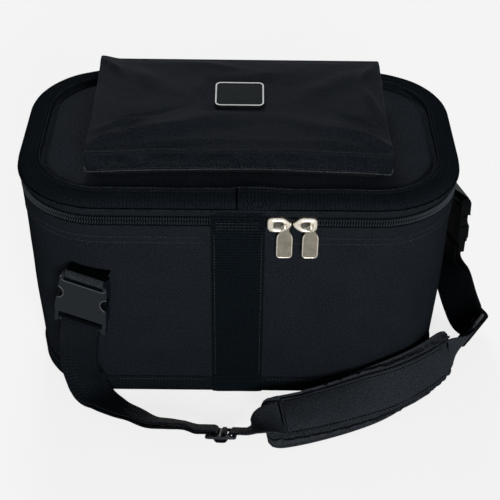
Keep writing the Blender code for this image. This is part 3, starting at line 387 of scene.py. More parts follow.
def stitches(name, rows, body, pitch=.0036, length=.0026, radius=.00036, slot="webbing", material=THREAD):
    """Sewn thread: each row is a list of (place, outward direction); one small lens for each stitch."""
    vertices, faces = [], []

    def at(mark, values):
        return np.array([np.interp(mark, travelled, values[:, k]) for k in range(3)])

    for row in rows:
        places, outs = (np.array(part, dtype=float) for part in zip(*row))
        travelled = travel(places)
        for index in range(int(travelled[-1] / pitch)):
            middle = (index + .5) * pitch
            start, end = at(middle - length / 2, places), at(middle + length / 2, places)
            out = unit(at(middle, outs))
            side = np.cross(unit(end - start), out)
            base = len(vertices)
            for share, grow in ((0.0, .45), (.25, 1.0), (.75, 1.0), (1.0, .45)):
                centre = start + (end - start) * share
                for a, b in ((1, 0), (.45, .85), (-.45, .85), (-1, 0), (0, -.7)):
                    vertices.append(centre + side * radius * grow * a + out * radius * grow * b)
            faces += ring_faces(4, 5, False, base)
    return piece(name, vertices, faces, material, body, slot=slot)


def tube(name, path, radius, material, body, sides=6, across=None, slot=None):
    """A thin cord sewn along an edge; across is given where the cord stands upright."""
    path = np.array(path, dtype=float)
    vertices = []
    for place, tangent in zip(path, np.gradient(path, axis=0)):
        tangent = unit(tangent)
        side = unit(np.cross(tangent, (0, 0, 1.0)) if across is None else np.array(across))
        up = np.cross(side, tangent)
        for turn in range(sides):
            bearing = FULL_TURN * turn / sides
            vertices.append(place + radius * (side * math.cos(bearing) + up * math.sin(bearing)))
    return piece(name, vertices, ring_faces(len(path), sides), material, body, slot=slot)


def dressed(name, cad_node, material, body, bevel, segments=3, round_axis=None, round_width=.002, hollows=False,
            edge_finish=None):
    """A copy of a CAD solid with its edges broken as a mould or a press leaves them; edge_finish is the material of the
    broken edges, a painted highlight on the buckles and the lighter plate on the pulls.
    """
    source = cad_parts[cad_node]
    builder = bmesh.new()
    builder.from_mesh(source.data)
    bmesh.ops.remove_doubles(builder, verts=builder.verts, dist=.00002)
    bmesh.ops.dissolve_limit(builder, angle_limit=math.radians(1), verts=builder.verts, edges=builder.edges)
    if round_axis is not None:
        axis = Vector(round_axis).normalized()
        corners = []
        for edge in builder.edges:
            if len(edge.link_faces) != 2 or edge.calc_length() < .0012:
                continue
            run = (edge.verts[1].co - edge.verts[0].co).normalized()
            if abs(run.dot(axis)) > .99 and (hollows or edge.is_convex) and edge.calc_face_angle() > math.radians(20):
                corners.append(edge)
        bmesh.ops.bevel(builder, geom=corners, offset=round_width, segments=5, affect='EDGES', profile=.5,
                        clamp_overlap=True)
    mesh = bpy.data.meshes.new(name)
    builder.to_mesh(mesh)
    builder.free()
    made = shown(name, mesh, (material, edge_finish) if edge_finish else (material,))
    made.matrix_world = source.matrix_world.copy()
    step = made.modifiers.new("edges", 'BEVEL')
    step.material = 1 if edge_finish else -1
    step.width, step.segments, step.use_clamp_overlap = bevel, segments, True
    step.limit_method, step.angle_limit = 'ANGLE', math.radians(25)
    made.modifiers.new("flat", 'WEIGHTED_NORMAL').weight = 80
    freeze(made)
    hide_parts(cad_node)
    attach(made, body)
    return made


# Outline of the case
ACROSS, ALONG, QUARTER = HALF_LENGTH - CORNER, HALF_WIDTH - CORNER, CORNER * math.pi / 2
SIDES = ((QUARTER, -90, ACROSS, -ALONG), (2 * ALONG, None, 1, 0), (QUARTER, 0, ACROSS, ALONG),
         (2 * ACROSS, None, 0, 1), (QUARTER, 90, -ACROSS, ALONG), (2 * ALONG, None, -1, 0),
         (QUARTER, 180, -ACROSS, -ALONG))
LENGTHS = (ACROSS, *(side[0] for side in SIDES), ACROSS)
ROUND = sum(LENGTHS)


def station(mark):
    """x, y and outward x, y at a length travelled anticlockwise from the middle of the front."""
    if mark < ACROSS:
        return mark, -HALF_WIDTH, 0.0, -1.0
    mark -= ACROSS
    for length, bearing, first, second in SIDES:
        if mark < length:
            if bearing is not None:
                turn = math.radians(bearing + 90 * mark / length)
                out_x, out_y = math.cos(turn), math.sin(turn)
                return first + CORNER * out_x, second + CORNER * out_y, out_x, out_y
            if first:
                return first * HALF_LENGTH, first * (mark - ALONG), float(first), 0.0
            return ACROSS - mark, HALF_WIDTH, 0.0, 1.0
        mark -= length
    return mark - ACROSS, -HALF_WIDTH, 0.0, -1.0


def outline(step=.004, extra=()):
    """Stations round the case: x, y, outward x, outward y, length travelled."""
    marks, total = [], 0.0
    for length in LENGTHS:
        count = max(round(length / step), 1)
        marks += [total + length * index / count for index in range(count)]
        total += length
    return [(*station(mark), mark) for mark in sorted(marks + [value % total for value in extra])]


def band(name, outer, inner, material, body, stands_for=(), move=None, step=.004, extra=(), stop=None):
    """A band round the case: its section is a closed loop of (inset, z), and move(x, y, index, z) pushes and lifts
    the outer part. It stops short of the back's middle by stop."""
    marks = outline(step, extra)
    profile = [*outer, *inner]
    if stop is not None:
        first, last = ROUND / 2 + stop, ROUND / 2 - stop
        marks = ([(*station(first), first)] + [m for m in marks if m[4] >= first]
                 + [(*m[:4], m[4] + ROUND) for m in marks if m[4] <= last] + [(*station(last), last + ROUND)])
    lengths = travel(profile)
    rings = []
    for x, y, out_x, out_y, mark in marks:
        ring = []
        for index, (inset, z) in enumerate(profile):
            push, lift = move(x, y, index, z) if move and index < len(outer) else (0.0, 0.0)
            reach = push - inset
            ring.append(((x + reach * out_x, y + reach * out_y, z + lift), (mark, lengths[index])))
        rings.append(ring)
    return loft(name, rings, material, body, stands_for, stop is None)


PLATE_SHARES = (1.0, .985, .94, .90, .875, .855, .838, .822, .806, .785, .75, .66, .55, .42, .28, .14, .04)


def plate(name, edge, low, high, material, body, stands_for, relief=None):
    """A plate of the case's outline with a fine top: relief(x, y) lifts its upper face."""
    marks = outline(.008)
    spine = HALF_LENGTH - HALF_WIDTH
    rings, vertices = [], []
    for level, sense in ((high, 1), (low, -1)):
        for share in PLATE_SHARES:
            rings.append(list(range(len(vertices), len(vertices) + len(marks))))
            for x, y, out_x, out_y, mark in marks:
                edge_x, edge_y = x - edge * out_x, y - edge * out_y
                root = max(-spine, min(spine, edge_x))
                px, py = root + (edge_x - root) * share, edge_y * share
                lift = relief(px, py) * smooth_step(1.0, .96, share) if relief and sense > 0 else 0.0
                vertices.append((px, py, level + lift))
    half = len(PLATE_SHARES)
    faces = []
    for side in (rings[:half], rings[half:]):
        for first, second in zip(side, side[1:]):
            faces += zip(first, turned(first), turned(second), second)
    faces += zip(rings[0], rings[half], turned(rings[half]), turned(rings[0]))
    faces += [tuple(rings[half - 1]), tuple(rings[-1])]
    return piece(name, vertices, faces, material, body, stands_for, [v[:2] for v in vertices])


# Shell


def wall_inset(z):
    return INSET_BASE + (INSET_TOP - INSET_BASE) * min(max(z / WALL_TOP, 0), 1)


def wall_swell(x, y, z):
    """How far the padded wall's face stands out from the straight one."""
    belly = math.sin(math.pi * min(max((z - .018) / .176, 0), 1))
    soft = .0006 * wander(x, y, z, .060, 3.1) + .00025 * wander(x, y, z, .022, 7.7)
    return .0011 * belly + soft * (smooth_step(.018, .040, z) * smooth_step(.196, .186, z))


def band_relief(z):
    """The band under the zipper stands proud, with a pinch where it is sewn."""
    proud = .0009 * smooth_step(.1916, .1924, z)
    return proud - .0006 * bump_at(z, .1945, .0016) - .0005 * bump_at(z, .2010, .0018)


def wall_move(x, y, index, z):
    return wall_swell(x, y, z) + band_relief(z) - .0009 * smooth_step(.2120, .2137, z), 0.0


wall_rows = [.0018, .0050, .010, .0155, .0190, .0215, .026, *(.026 + .0054 * step for step in range(1, 31)), .1905,
             .1916, .1920, .1924, .1935, .1945, .1955, .1975, .1995, .2004, .2010, .2016, .2028, .2060, .2095, .2120,
             .2132, .2137]
band("shell_wall", [(wall_inset(z), z) for z in sorted(set(round(z, 5) for z in wall_rows))],
     [(wall_inset(z) + WALL_THICK, z) for z in (WALL_TOP, .15, .08, .0018)], WALL_CLOTH, "case", ("side_wall",),
     wall_move)


def lining_move(x, y, index, z):
    return (-.0006 * (1 + wander(x, y, z, .045, 5.0)) if 3 <= index <= 9 else 0.0), 0.0


band("shell_lining", [(wall_inset(z) + WALL_THICK + GAP, z) for z in (.0103, .07, .14, .2134)]
     + [(wall_inset(z) + WALL_THICK + GAP + .0012, z) for z in (.2134, .19, .16, .13, .10, .07, .045, .0103)], (),
     LINING, "case", ("wall_lining",), lining_move, .008)
plate("floor_lining", INSET_BASE + WALL_THICK + GAP, .0088, .0100, LINING, "case", ("base_lining",),
      lambda x, y: .0005 * wander(x, y, 0, .04, 1.0))


def base_plate():
    """Panel between the wall's foot and the floor."""
    marks = outline(.006)
    vertices, uvs = [], []
    for inset, z in ((INSET_BASE + .018, 0.0), (INSET_BASE + .018, .0018), (INSET_BASE + WALL_THICK + GAP, .0018),
                     (INSET_BASE + WALL_THICK + GAP, .0085)):
        for x, y, out_x, out_y, mark in marks:
            vertices.append((x - inset * out_x, y - inset * out_y, z))
            uvs.append((x, y))
    return piece("base_cloth", vertices, stacked(4, len(marks)), WALL_CLOTH, "case", ("base_panel",), uvs)


base_plate()
BINDING_THICK, BINDING_SEAM = .0015, .0165
foot = INSET_BASE - GAP - BINDING_THICK
binding_out = [(foot + .0020, 0.0), (foot + .0006, .0006), (foot, .0020)]
binding_out += [(wall_inset(z) - GAP - BINDING_THICK, z) for z in (.006, .010, .0135, .0150, .0165, .0180, .0192)]
binding_out += [(wall_inset(.02) - GAP - .0010, .0199), (wall_inset(.02) - GAP, .0200)]
binding_in = [(wall_inset(.010) - GAP, .010), (INSET_BASE - GAP, .0020), (INSET_BASE + .0010, .0015),
              (INSET_BASE + .0177, .0015), (INSET_BASE + .0177, 0.0)]


def binding_move(x, y, index, z):
    return .0003 * wander(x, y, z, .02, 4.0) * smooth_step(.002, .006, z) - .0005 * bump_at(z, .0165, .002), 0.0


band("base_binding", binding_out, binding_in, BINDING, "case", ("bottom_binding",), binding_move)

# Wide webbing down the front: height and how far it laps over what is below
LOW_LAP, WEB_THICK, WEB_TOP = .0018, .0016, .2343
WEB_LAPS = mm((208.5, 0.0), (210.5, .1), (212.5, .4), (214.2, 1.1), (216.5, 1.4), (225.5, 1.3), (228.5, 1.0),
              (231.5, .8), (234.3, .6))
WEB_SHARES = (.08, .26, .44, .62, .8, .93, .985, 1.0)


def front_webbing():
    track = [(z, LOW_LAP) for z in (.0016, .006, .011, .016, .0196)]
    track += [(.0210, LOW_LAP * .6), (.0230, 0.0), (.030, 0.0)]
    z = .037
    while z < .2085:
        track.append((z, 0.0))
        z += .0055 if z < .195 else .0011
    for step in range(24):
        z = .2087 + (WEB_TOP - .2087) * step / 23
        track.append((z, float(np.interp(z, *zip(*WEB_LAPS)))))
    columns = [*(-share for share in WEB_SHARES[::-1]), *WEB_SHARES]
    bases = [HALF_WIDTH - wall_inset(z) + GAP + lap for z, lap in track]
    travelled = travel([(z, base) for (z, lap), base in zip(track, bases)])
    rings = []
    for (z, lap), base, along in zip(track, bases, travelled):
        outer, inner = [], []
        for share in columns:
            x = share * WEB_HALF * (1 + .010 * wander(0, 0, z, .05, 2.0 + (share > 0)))
            under = wall_swell(x, -HALF_WIDTH, z) + (band_relief(z) if z < WALL_TOP else 0.0)
            wave_high = .0004 * wander(x, 0, z, .030, 9.0) + .0003 * max(0, wander(x, 0, z, .012, 4.0))
            rows = .00045 * math.sin(FULL_TURN * z / .0033) * smooth_step(.188, .202, z)
            face = base + under + WEB_THICK * (.72 if abs(share) > .9 else 1.0) + max(wave_high, -.0002) + rows
            outer.append(((x, -face, z), (along, x)))
            inner.append((x, -(base + under), z))
        rings.append(outer + [(place, (along, share * WEB_HALF)) for place, share in zip(inner[::-1], columns)])
    return loft("front_webbing", rings, FRONT_WEB, "case", ("front_web",))


front_webbing()


def round_row(z, reach):
    """Places for stitches round the case, left out under the front webbing; reach(x, y) is how far out."""
    row = []
    for x, y, out_x, out_y, mark in outline(.006):
        if y >= NEAR_FRONT or abs(x) >= WEB_CLEAR:
            out = reach(x, y)
            row.append(((x + out * out_x, y + out * out_y, z), (out_x, out_y, 0)))
    return row


def wall_row(z):
    return round_row(z, lambda x, y: wall_swell(x, y, z) + band_relief(z) - wall_inset(z) + .0001)


def binding_rows():
    row = round_row(BINDING_SEAM, lambda x, y: BINDING_THICK - wall_inset(BINDING_SEAM) + GAP - .0004)
    middle = next(i for i, (place, out) in enumerate(row) if place[0] < -.0255 and place[1] < -.11)
    return [row[:middle], row[middle:]]


def web_rows():
    """Two rows down the web and the boxed rows at its top."""
    rows = []
    for x in (-(WEB_HALF - .003), WEB_HALF - .003):
        row = []
        z = .024
        while z < .211:
            y = -(HALF_WIDTH - wall_inset(z) + GAP + wall_swell(x, -HALF_WIDTH, z) + band_relief(z) + .0018)
            row.append(((x, y, z), (0, -1, 0)))
            z += .004
        rows.append(row)
    for z in (.2136, .2168, .2200):
        y = -(HALF_WIDTH - wall_inset(z) + GAP + .0032)
        rows.append([((x, y, z), (0, -1, 0)) for x in (-.021, 0.0, .021)])
    return rows


stitches("wall_stitches", [wall_row(.1945), wall_row(.2010)], "case")
stitches("binding_stitches", binding_rows(), "case")
stitches("web_stitches", web_rows(), "case")

# Zipper: stages of a loop are its reach, width and depth
COIL_PITCH, COIL_DEPTH = .0025, .0015
COIL_SECTION = ((-1.0, 0.0), (-.72, .72), (0.0, 1.0), (.72, .72), (1.0, 0.0))
COIL_STAGES = ((.0037, .40, .5), (.0034, .62, 1.0), (.0026, .70, 1.35), (.0016, .62, 1.2), (.0008, .45, .6),
               (.0001, .35, .3))


def zipper_coil(prefix, sign, body):
    """One side of the coil: slanted loops whose heads reach between the other side's."""
    begin_at, end_at = ROUND / 2 + HINGE_HALF + .002, ROUND * 1.5 - HINGE_HALF - .002
    vertices, faces = [], []
    for index in range(int((end_at - begin_at) / COIL_PITCH)):
        x, y, out_x, out_y = station((begin_at + (index + (.5 if sign > 0 else 0.0)) * COIL_PITCH) % ROUND)
        run, out = np.array((-out_y, out_x, 0.0)), np.array((out_x, out_y, 0.0))
        foot = np.array((x, y, 0.0)) - out * (TOOTH_FRONT + COIL_DEPTH)
        base = len(vertices)
        for reach, wide, deep in COIL_STAGES:
            centre = foot + run * (.30 * sign * reach) + np.array((0, 0, ZIP_Z + sign * reach))
            vertices += [centre + run * a * wide * .001 + out * b * deep * COIL_DEPTH for a, b in COIL_SECTION]
        faces += ring_faces(len(COIL_STAGES), len(COIL_SECTION), False, base)
    return piece("zip_coil_" + prefix, vertices, faces, COIL, body, ("zipper_teeth_" + prefix,))


for prefix, sign, body in (("lower", -1, "case"), ("upper", 1, "lid")):
    near, far = ZIP_Z + sign * .0008, ZIP_Z + sign * .0055
    band("zip_tape_" + prefix, [(TAPE_FRONT, near), (TAPE_FRONT + .0002, (near + far) / 2), (TAPE_FRONT, far),
                                (TAPE_BACK, far), (TAPE_BACK, near)], (), TAPE, body, ("zipper_tape_" + prefix,),
         stop=HINGE_HALF + GAP)
    zipper_coil(prefix, sign, body)


def hinge_cloth():
    """Cloth across the back where the lid folds."""
    columns = [HINGE_HALF * (-1 + 2 * step / 56) for step in range(57)]
    y = HALF_WIDTH - INSET_TOP
    rings = []
    for z in (.2140 + .0011 * step for step in range(11)):
        belly = .0004 * bump_at(z, .2195, .006)
        rings.append([((x, y - .0001 + belly + .0001 * wander(x, 0, z, .02, 1.0), z), (x, z)) for x in columns]
                     + [((x, y - .0012, z), (x, z)) for x in reversed(columns)])
    made = loft("hinge_cloth", rings, WALL_CLOTH, None, ("lid_hinge_strip",))
    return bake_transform(made)


hinge_cloth()


# Lid


def gusset_move(x, y, index, z):
    return .0026 * bump_at(z, .2298, .0044) + .0004 * wander(x, y, z, .02, 6.0) * bump_at(z, .2290, .0045), 0.0


band("lid_band", [(INSET_TOP, z) for z in (.2253, .2262, .2280, .2300, .2320, .2338, .2370, LID_PLANE)],
     [(INSET_TOP + .004, z) for z in (LID_PLANE, .2253)], WALL_CLOTH, "lid", ("lid_gusset",), gusset_move)


def edge_distance(x, y):
    """How far a place on the lid lies inside the case's outline."""
    over_x, over_y = abs(x) - ACROSS, abs(y) - ALONG
    return CORNER - math.hypot(max(over_x, 0), max(over_y, 0)) - min(max(over_x, over_y), 0)


def lid_relief(x, y):
    soft = .0009 * wander(x, y, 0, .045, 2.0) - .0009
    return soft - .0030 * bump_at(edge_distance(x, y), .0232, .0044) - .0003


LID_EDGE = INSET_TOP + .0043
plate("lid_cloth", LID_EDGE, .2299, LID_PLANE, LID_CLOTH, "lid", ("lid_panel",), lid_relief)
plate("lid_lining_cloth", LID_EDGE, .2284, .2296, LINING, "lid", ("lid_lining",))

# Tape folded round the lid's edge: inset and height in millimetres; its turned end lies at the lap
BORDER_OUT = mm((.3, 234.6), (-.6, 235.1), (-.9, 236.2), (-.7, 237.4), (-.3, 239.0), (.5, 240.5), (1.8, 241.7),
                (4.0, 242.4), (7.5, 242.7), (11.5, 242.7), (15.0, 242.4), (16.3, 241.9), (17.2, 242.3), (18.4, 243.4),
                (19.8, 243.6), (20.8, 243.0), (21.2, 241.5), (21.0, 240.4))
LAP_MARK = -.0005


def border_move(x, y, index, z):
    lap = smooth_step(.050, .014, x) if y < NEAR_FRONT and x > LAP_MARK else 0.0
    soft = .0004 * wander(x, y, z, .018, 8.0) + .0004 * wander(x, y, 0, .045, 1.5)
    if index >= 12:
        push = -.0012 * lap - .0009 * wander(x, y, 0, .026, 2.5)
    else:
        push = .0014 * lap if index < 7 else 0.0
    return push, (soft + .0016 * lap) if index >= 5 else 0.0


def border_row(inset, z):
    marks = outline(.006)
    return [((x - inset * out_x, y - inset * out_y, z + border_move(x, y, 11, z)[1]), (0, 0, 1))
            for x, y, out_x, out_y, mark in marks + marks[:1]]


def edge_cord():
    """The rolled inner edge of the tape, drawn paler: a painted highlight along the roll."""
    path = [place for place, out in border_row(.0196, .2436)]
    return tube("lid_edge_cord", path + path[1:2], .00055, PALE_THREAD_AND_HIGHLIGHT, "lid")


def lap_joint():
    """A near-black cord where the border's tape starts and stops: the turned end of the tape, drawn as painted shade
    for the joint's shadow line.
    """
    path = []
    for index, (inset, z) in enumerate(BORDER_OUT[1:16], 1):
        push, lift = border_move(LAP_MARK + .0001, -HALF_WIDTH, index, z)
        path.append((LAP_MARK - .0005, -HALF_WIDTH + inset - push * .6, z + lift * .6))
    return tube("lap_fold_shade", path, .0009, DARK_THREAD_AND_SHADE, "lid", 8, (1, 0, 0))


def sewn_cord(name, inset, middle, radius, material):
    """A cord round the lid under the border: the piping, or a near-black cord that is painted shade in the groove below
    the border.
    """
    turns = [FULL_TURN * step / 10 for step in range(10)]
    section = [(inset - radius * math.cos(turn), middle + radius * math.sin(turn)) for turn in turns]
    return band(name, section, (), material, "lid", move=lambda x, y, index, z: (
        .0003 * wander(x, y, 0, .015, 3.0), .0003 * wander(x, y, 0, .030, 7.0)))


band("lid_edge", BORDER_OUT, mm((20.8, 240.2), (1.3, 240.2), (1.3, 234.6)), BINDING, "lid", ("lid_border",),
     border_move, extra=(LAP_MARK - .0002, LAP_MARK + .0002, .010, .014))
edge_cord()
lap_joint()
stitches("edge_stitches", [border_row(.0163, .2420)], "lid", material=PALE_THREAD_AND_HIGHLIGHT)
sewn_cord("lid_piping", -.0002, .2329, .0014, PIPE_CLOTH)
# Painted shade: a near-black cord in the groove between the border and the piping.
sewn_cord("lid_groove_shade", -.0007, .2347, .0006, DARK_THREAD_AND_SHADE)


# Pocket


def roof_at(y):
    return ROOF_FRONT + (ROOF_REAR - ROOF_FRONT) * (y - POCKET_FRONT) / (POCKET_REAR - POCKET_FRONT)


def bow(x):
    """The empty pocket's front is drawn back in its middle."""
    return .0072 * (1 - min(abs(x) / POCKET_HALF, 1) ** 2)


def rounded_loop(half_x, low_y, high_y, radius, step=.006, corner_steps=5):
    """Rounded rectangle from the rear right corner anticlockwise: x, y, outward x, outward y."""
    points = []
    corners = [(half_x - radius, high_y - radius), (-half_x + radius, high_y - radius),
               (-half_x + radius, low_y + radius), (half_x - radius, low_y + radius)]
    for start, (cx, cy), (nx, ny) in zip((0, 90, 180, 270), corners, turned(corners)):
        for turn in range(corner_steps + 1):
            bearing = math.radians(start + 90 * turn / corner_steps)
            out_x, out_y = math.cos(bearing), math.sin(bearing)
            points.append((cx + radius * out_x, cy + radius * out_y, out_x, out_y))
        first = np.array((cx + radius * out_x, cy + radius * out_y))
        last = np.array((nx + radius * out_x, ny + radius * out_y))
        count = max(round(np.linalg.norm(last - first) / step), 1)
        points += [(*(first + (last - first) * place / count), out_x, out_y) for place in range(1, count)]
    return points


def pocket_cloth():
    loop = rounded_loop(POCKET_HALF, POCKET_FRONT, POCKET_REAR, .010)
    shares = (0.0, .06, .2, .4, .6, .8, .94, 1.0)
    rings = []
    for (x, y, out_x, out_y), along in zip(loop, travel([point[:2] for point in loop])):
        back = bow(x) * smooth_step(POCKET_FRONT + .02, POCKET_FRONT, y)
        ring = []
        for inset, order in ((0.0, shares), (.0016, shares[::-1])):
            for share in order:
                z = .2402 + (roof_at(y) - .2402) * share
                reach = math.sin(math.pi * share) * (.0016 * wander(x, y, z, .024, 3.0) - .0008) - inset
                ring.append(((x + reach * out_x, y + reach * out_y + back, z), (along, z)))
        rings.append(ring)
    return loft("pocket_cloth", rings, NYLON, "lid", ("pocket_walls",), True)


def tape_strip(name, y, body, cad_node, thick=.0011, low=.2405, high=.2565):
    columns = [(POCKET_HALF - .010) * (-1 + 2 * step / 48) for step in range(49)]
    section = ((0.0, low), (0.0, high), (thick, high), (thick, low))
    rings = [[((x, y + depth + bow(x), z), (x, z)) for depth, z in section] for x in columns]
    return loft(name, rings, TOUCH, body, (cad_node,))


pocket_cloth()
tape_strip("loop_tape", -.0754, "lid", "pocket_loop_tape")
tape_strip("hook_tape", -.0768, "flap", "flap_hook_tape")

FLAP_HALF, FLAP_FRONT, FLAP_REAR = .1403, -.0791, POCKET_REAR
FLAP_FOLD, FLAP_SKIN, SIDE_DEPTH, FRONT_DEPTH = .0024, .0018, .0118, .0176
# Creases of the flap in millimetres: middle, half length, width and height, then the direction
FLAP_SWELLS = (
    (-58, -38, 60, 11, 4, .92, .38), (83, -40, 58, 9.5, 3.6, .91, -.42), (10, 36, 70, 14, 2.4, .97, .22),
    (-90, 36, 45, 11, 2.8, .80, -.60), (90, 30, 40, 11, 2.6, .86, .50), (20, -40, 50, 10, -2, .99, .05),
)
FLAP_CREASES = (
    (-108, -33, 30, 3.4, 3.4, .90, .43), (-98, -50, 36, 3.6, 2.6, .96, .28), (-124, -56, 18, 3, 2.6, .80, .60),
    (119, -58, 26, 3.4, 3.6, .88, -.48), (128, -2, 34, 4, 3.4, .27, -.96), (108, -44, 30, 3.4, 2.6, .82, -.57),
    (96, -64, 34, 3, 2.2, .97, -.24), (-124, 52, 18, 3.6, 2.6, .62, -.78), (0, -66.5, 95, 2.6, -2, 1.0, .02),
    (-50, -62, 36, 2.8, 1.4, .99, .10), (126, 46, 18, 3.6, 2, .50, .87), (-20, 58, 40, 5, 1.2, .98, -.20),
    (-86, -20, 34, 3, -2.2, .95, .31), (112, -26, 26, 3, -2.4, .86, -.51),
)


def flap_crumple(x, y):
    """Lift of the flap's cloth at a place: slack, broad swells and sharp folds."""
    share = (y - FLAP_FRONT) / (FLAP_REAR - FLAP_FRONT)
    lift = .0020 * wander(x, y, 0, .070, 1.3) + .0012 * wander(x * .6, y, 0, .026, 4.2)
    lift += .0005 * wander(x, y, 0, .011, 6.1) + .0014
    for sharp, creases in ((False, FLAP_SWELLS), (True, FLAP_CREASES)):
        for *sizes, run_x, run_y in creases:
            cx, cy, long, wide, high = (size / 1000 for size in sizes)
            dx, dy = x - cx, y - cy
            along, across = (dx * run_x + dy * run_y) / long, (-dx * run_y + dy * run_x) / wide
            if abs(along) > 1.6 or abs(across) > 4:
                continue
            ridge = math.exp(.35 - math.hypot(across, .35)) if sharp else math.exp(-across * across)
            lift += high * (2.0 if sharp else 1.35) * math.exp(-1.6 * along * along) * ridge
    quiet = 1 - bump_at(max(abs(x) - .026, 0), 0, .014) * bump_at(max(abs(y - .0121) - .020, 0), 0, .012)
    edges = smooth_step(-.01, .06, share) * .65 + .35
    sewn = .0020 * bump_at(y - FLAP_FRONT - FLAP_FOLD, 0, .0036) - .0014 * bump_at(y - FLAP_FRONT - .009, 0, .0050)
    corner = .0034 * bump_at(x + FLAP_HALF, 0, .020) * bump_at(y - FLAP_REAR, 0, .016)
    return lift * quiet * edges * smooth_step(1.0, .93, share) + corner + sewn


def drawn(x, y):
    """How far the flap's front is drawn back."""
    return bow(x) * smooth_step(-.030, FLAP_FRONT, y)


def widened(x, y):
    return x * (1 + .022 * smooth_step(-.010, FLAP_FRONT, y) * smooth_step(.090, FLAP_HALF, abs(x)))


def pocket_lid():
    """The flap: a creased top, a round fold and a hanging lip on three sides; gives its points, hem and fold."""
    columns, rows, steps = 112, 64, 5
    half, front = FLAP_HALF - FLAP_FOLD, FLAP_FRONT + FLAP_FOLD
    xs = [half * (-1 + 2 * i / columns) for i in range(columns + 1)]
    ys = [FLAP_REAR + (front - FLAP_REAR) * j / rows for j in range(rows + 1)]
    top_lift = GAP + FLAP_SKIN + .0002
    vertices, uvs, faces = [], [], []

    def add(x, y, z, u, v):
        vertices.append((x, y, z))
        uvs.append((u, v))
        return len(vertices) - 1

    grid = [[add(widened(x, y), y + drawn(x, y), roof_at(y) + top_lift + max(flap_crumple(x, y), -.0002), x, y)
             for x in xs] for y in ys]
    for upper, lower in zip(grid, grid[1:]):
        faces += zip(upper, lower, lower[1:], upper[1:])
    bearings = [math.radians(180 + 90 * turn / steps) for turn in range(steps)]
    border = [(grid[j][0], -half, ys[j], -1.0, 0.0) for j in range(rows)]
    border += [(grid[rows][0], -half, front, math.cos(b), math.sin(b)) for b in bearings]
    border += [(grid[rows][i], xs[i], front, 0.0, -1.0) for i in range(columns + 1)]
    bearings = [math.radians(270 + 90 * turn / steps) for turn in range(1, steps + 1)]
    border += [(grid[rows][columns], half, front, math.cos(b), math.sin(b)) for b in bearings]
    border += [(grid[j][columns], half, ys[j], 1.0, 0.0) for j in reversed(range(rows))]
    fold = FLAP_FOLD * math.pi / 2
    previous = [entry[0] for entry in border]
    distances = [fold * k / 4 for k in range(1, 5)]
    distances += [fold + more for more in (.0011, .003, .0055, .008, .0105, .0127, .0140)]
    for distance in distances:
        out, drop, share = FLAP_FOLD, FLAP_FOLD, (distance - fold) / (distances[-1] - fold)
        if distance <= fold:
            turn = distance / FLAP_FOLD
            out, drop, share = FLAP_FOLD * math.sin(turn), FLAP_FOLD * (1 - math.cos(turn)), 0.0
        ring = []
        for entry, x, y, out_x, out_y in border:
            frontness = max(-out_y, 0.0)
            fall = drop + (SIDE_DEPTH + (FRONT_DEPTH - SIDE_DEPTH) * frontness - FLAP_FOLD) * share
            px, py = x + out * out_x, y + out * out_y
            crush = 0.0
            if share > 0:
                crush = .0034 * wander(px, py, fall * .4, .016, 2.2) + .0018 * wander(px, py, fall, .008, 5.2)
                crush = (crush - .0012) * math.sin(math.pi * min(share, .96))
                crush += .0009 * bump_at(share, .72, .16) * frontness
            px = widened(px, py) + crush * out_x
            py += crush * out_y + drawn(px, py)
            lift = flap_crumple(x, y) * (1 - share) if share < 1 else 0.0
            sway = .0010 * wander(px, 0, 0, .060, 3.3) * share * frontness
            ring.append(add(px, py, roof_at(y) + top_lift + max(lift, -.0002) - fall + sway, x + out_x * distance,
                            y + out_y * distance))
        for a, b, c, d in zip(previous, previous[1:], ring[1:], ring):
            faces.append((a, d, c) if a == b else (a, d, c, b))
        previous = ring
    made = piece("pocket_lid", vertices, faces, NYLON, "flap", ("pocket_flap",), uvs, 60, skin=FLAP_SKIN)
    return [vertices[k] for k in previous], [vertices[k] for k in grid[rows]]


hem, fold = pocket_lid()
# Painted highlight along the flap's hem.
tube("flap_hem", [(x, y - .0001, z - .0002) for x, y, z in hem if y < -.02], .00055, HEM_HIGHLIGHT, "flap", slot="nylon")
# Painted highlight: a pale cord along the flap's front fold.
tube("flap_fold", [(x, y - .0004, z + .0001 + .0004 * wander(x, 0, 0, .012, 2.7)) for x, y, z in fold], .0006,
     PALE_THREAD_AND_HIGHLIGHT, "flap", slot="nylon")


def lip_row():
    """Stitches along the flap's lip."""
    xs = [-.132 + .264 * step / 66 for step in range(67)]
    return [((x, FLAP_FRONT + drawn(x, FLAP_FRONT) - .0009, .2480 + .0006 * wander(x, 0, 0, .06, 3.3)), (0, -1, .1))
            for x in xs]


stitches("lip_stitches", [lip_row()], "flap", slot="nylon")

# Badge: growth of its outline and height, in millimetres, and the rings where its rim and field begin
BADGE_RINGS = mm((-.6, 0.0), (0.0, .6), (0.0, 2.4), (-.4, 2.9), (-.9, 3.0), (-1.3, 3.3), (-1.8, 3.3), (-2.3, 3.0),
                 (-2.7, 2.7), (-5.0, 2.8), (-11.0, 2.9))
BADGE_Y, BADGE_X, BADGE_HIGH, BADGE_CORNER = .01214, .0245, .01925, .006


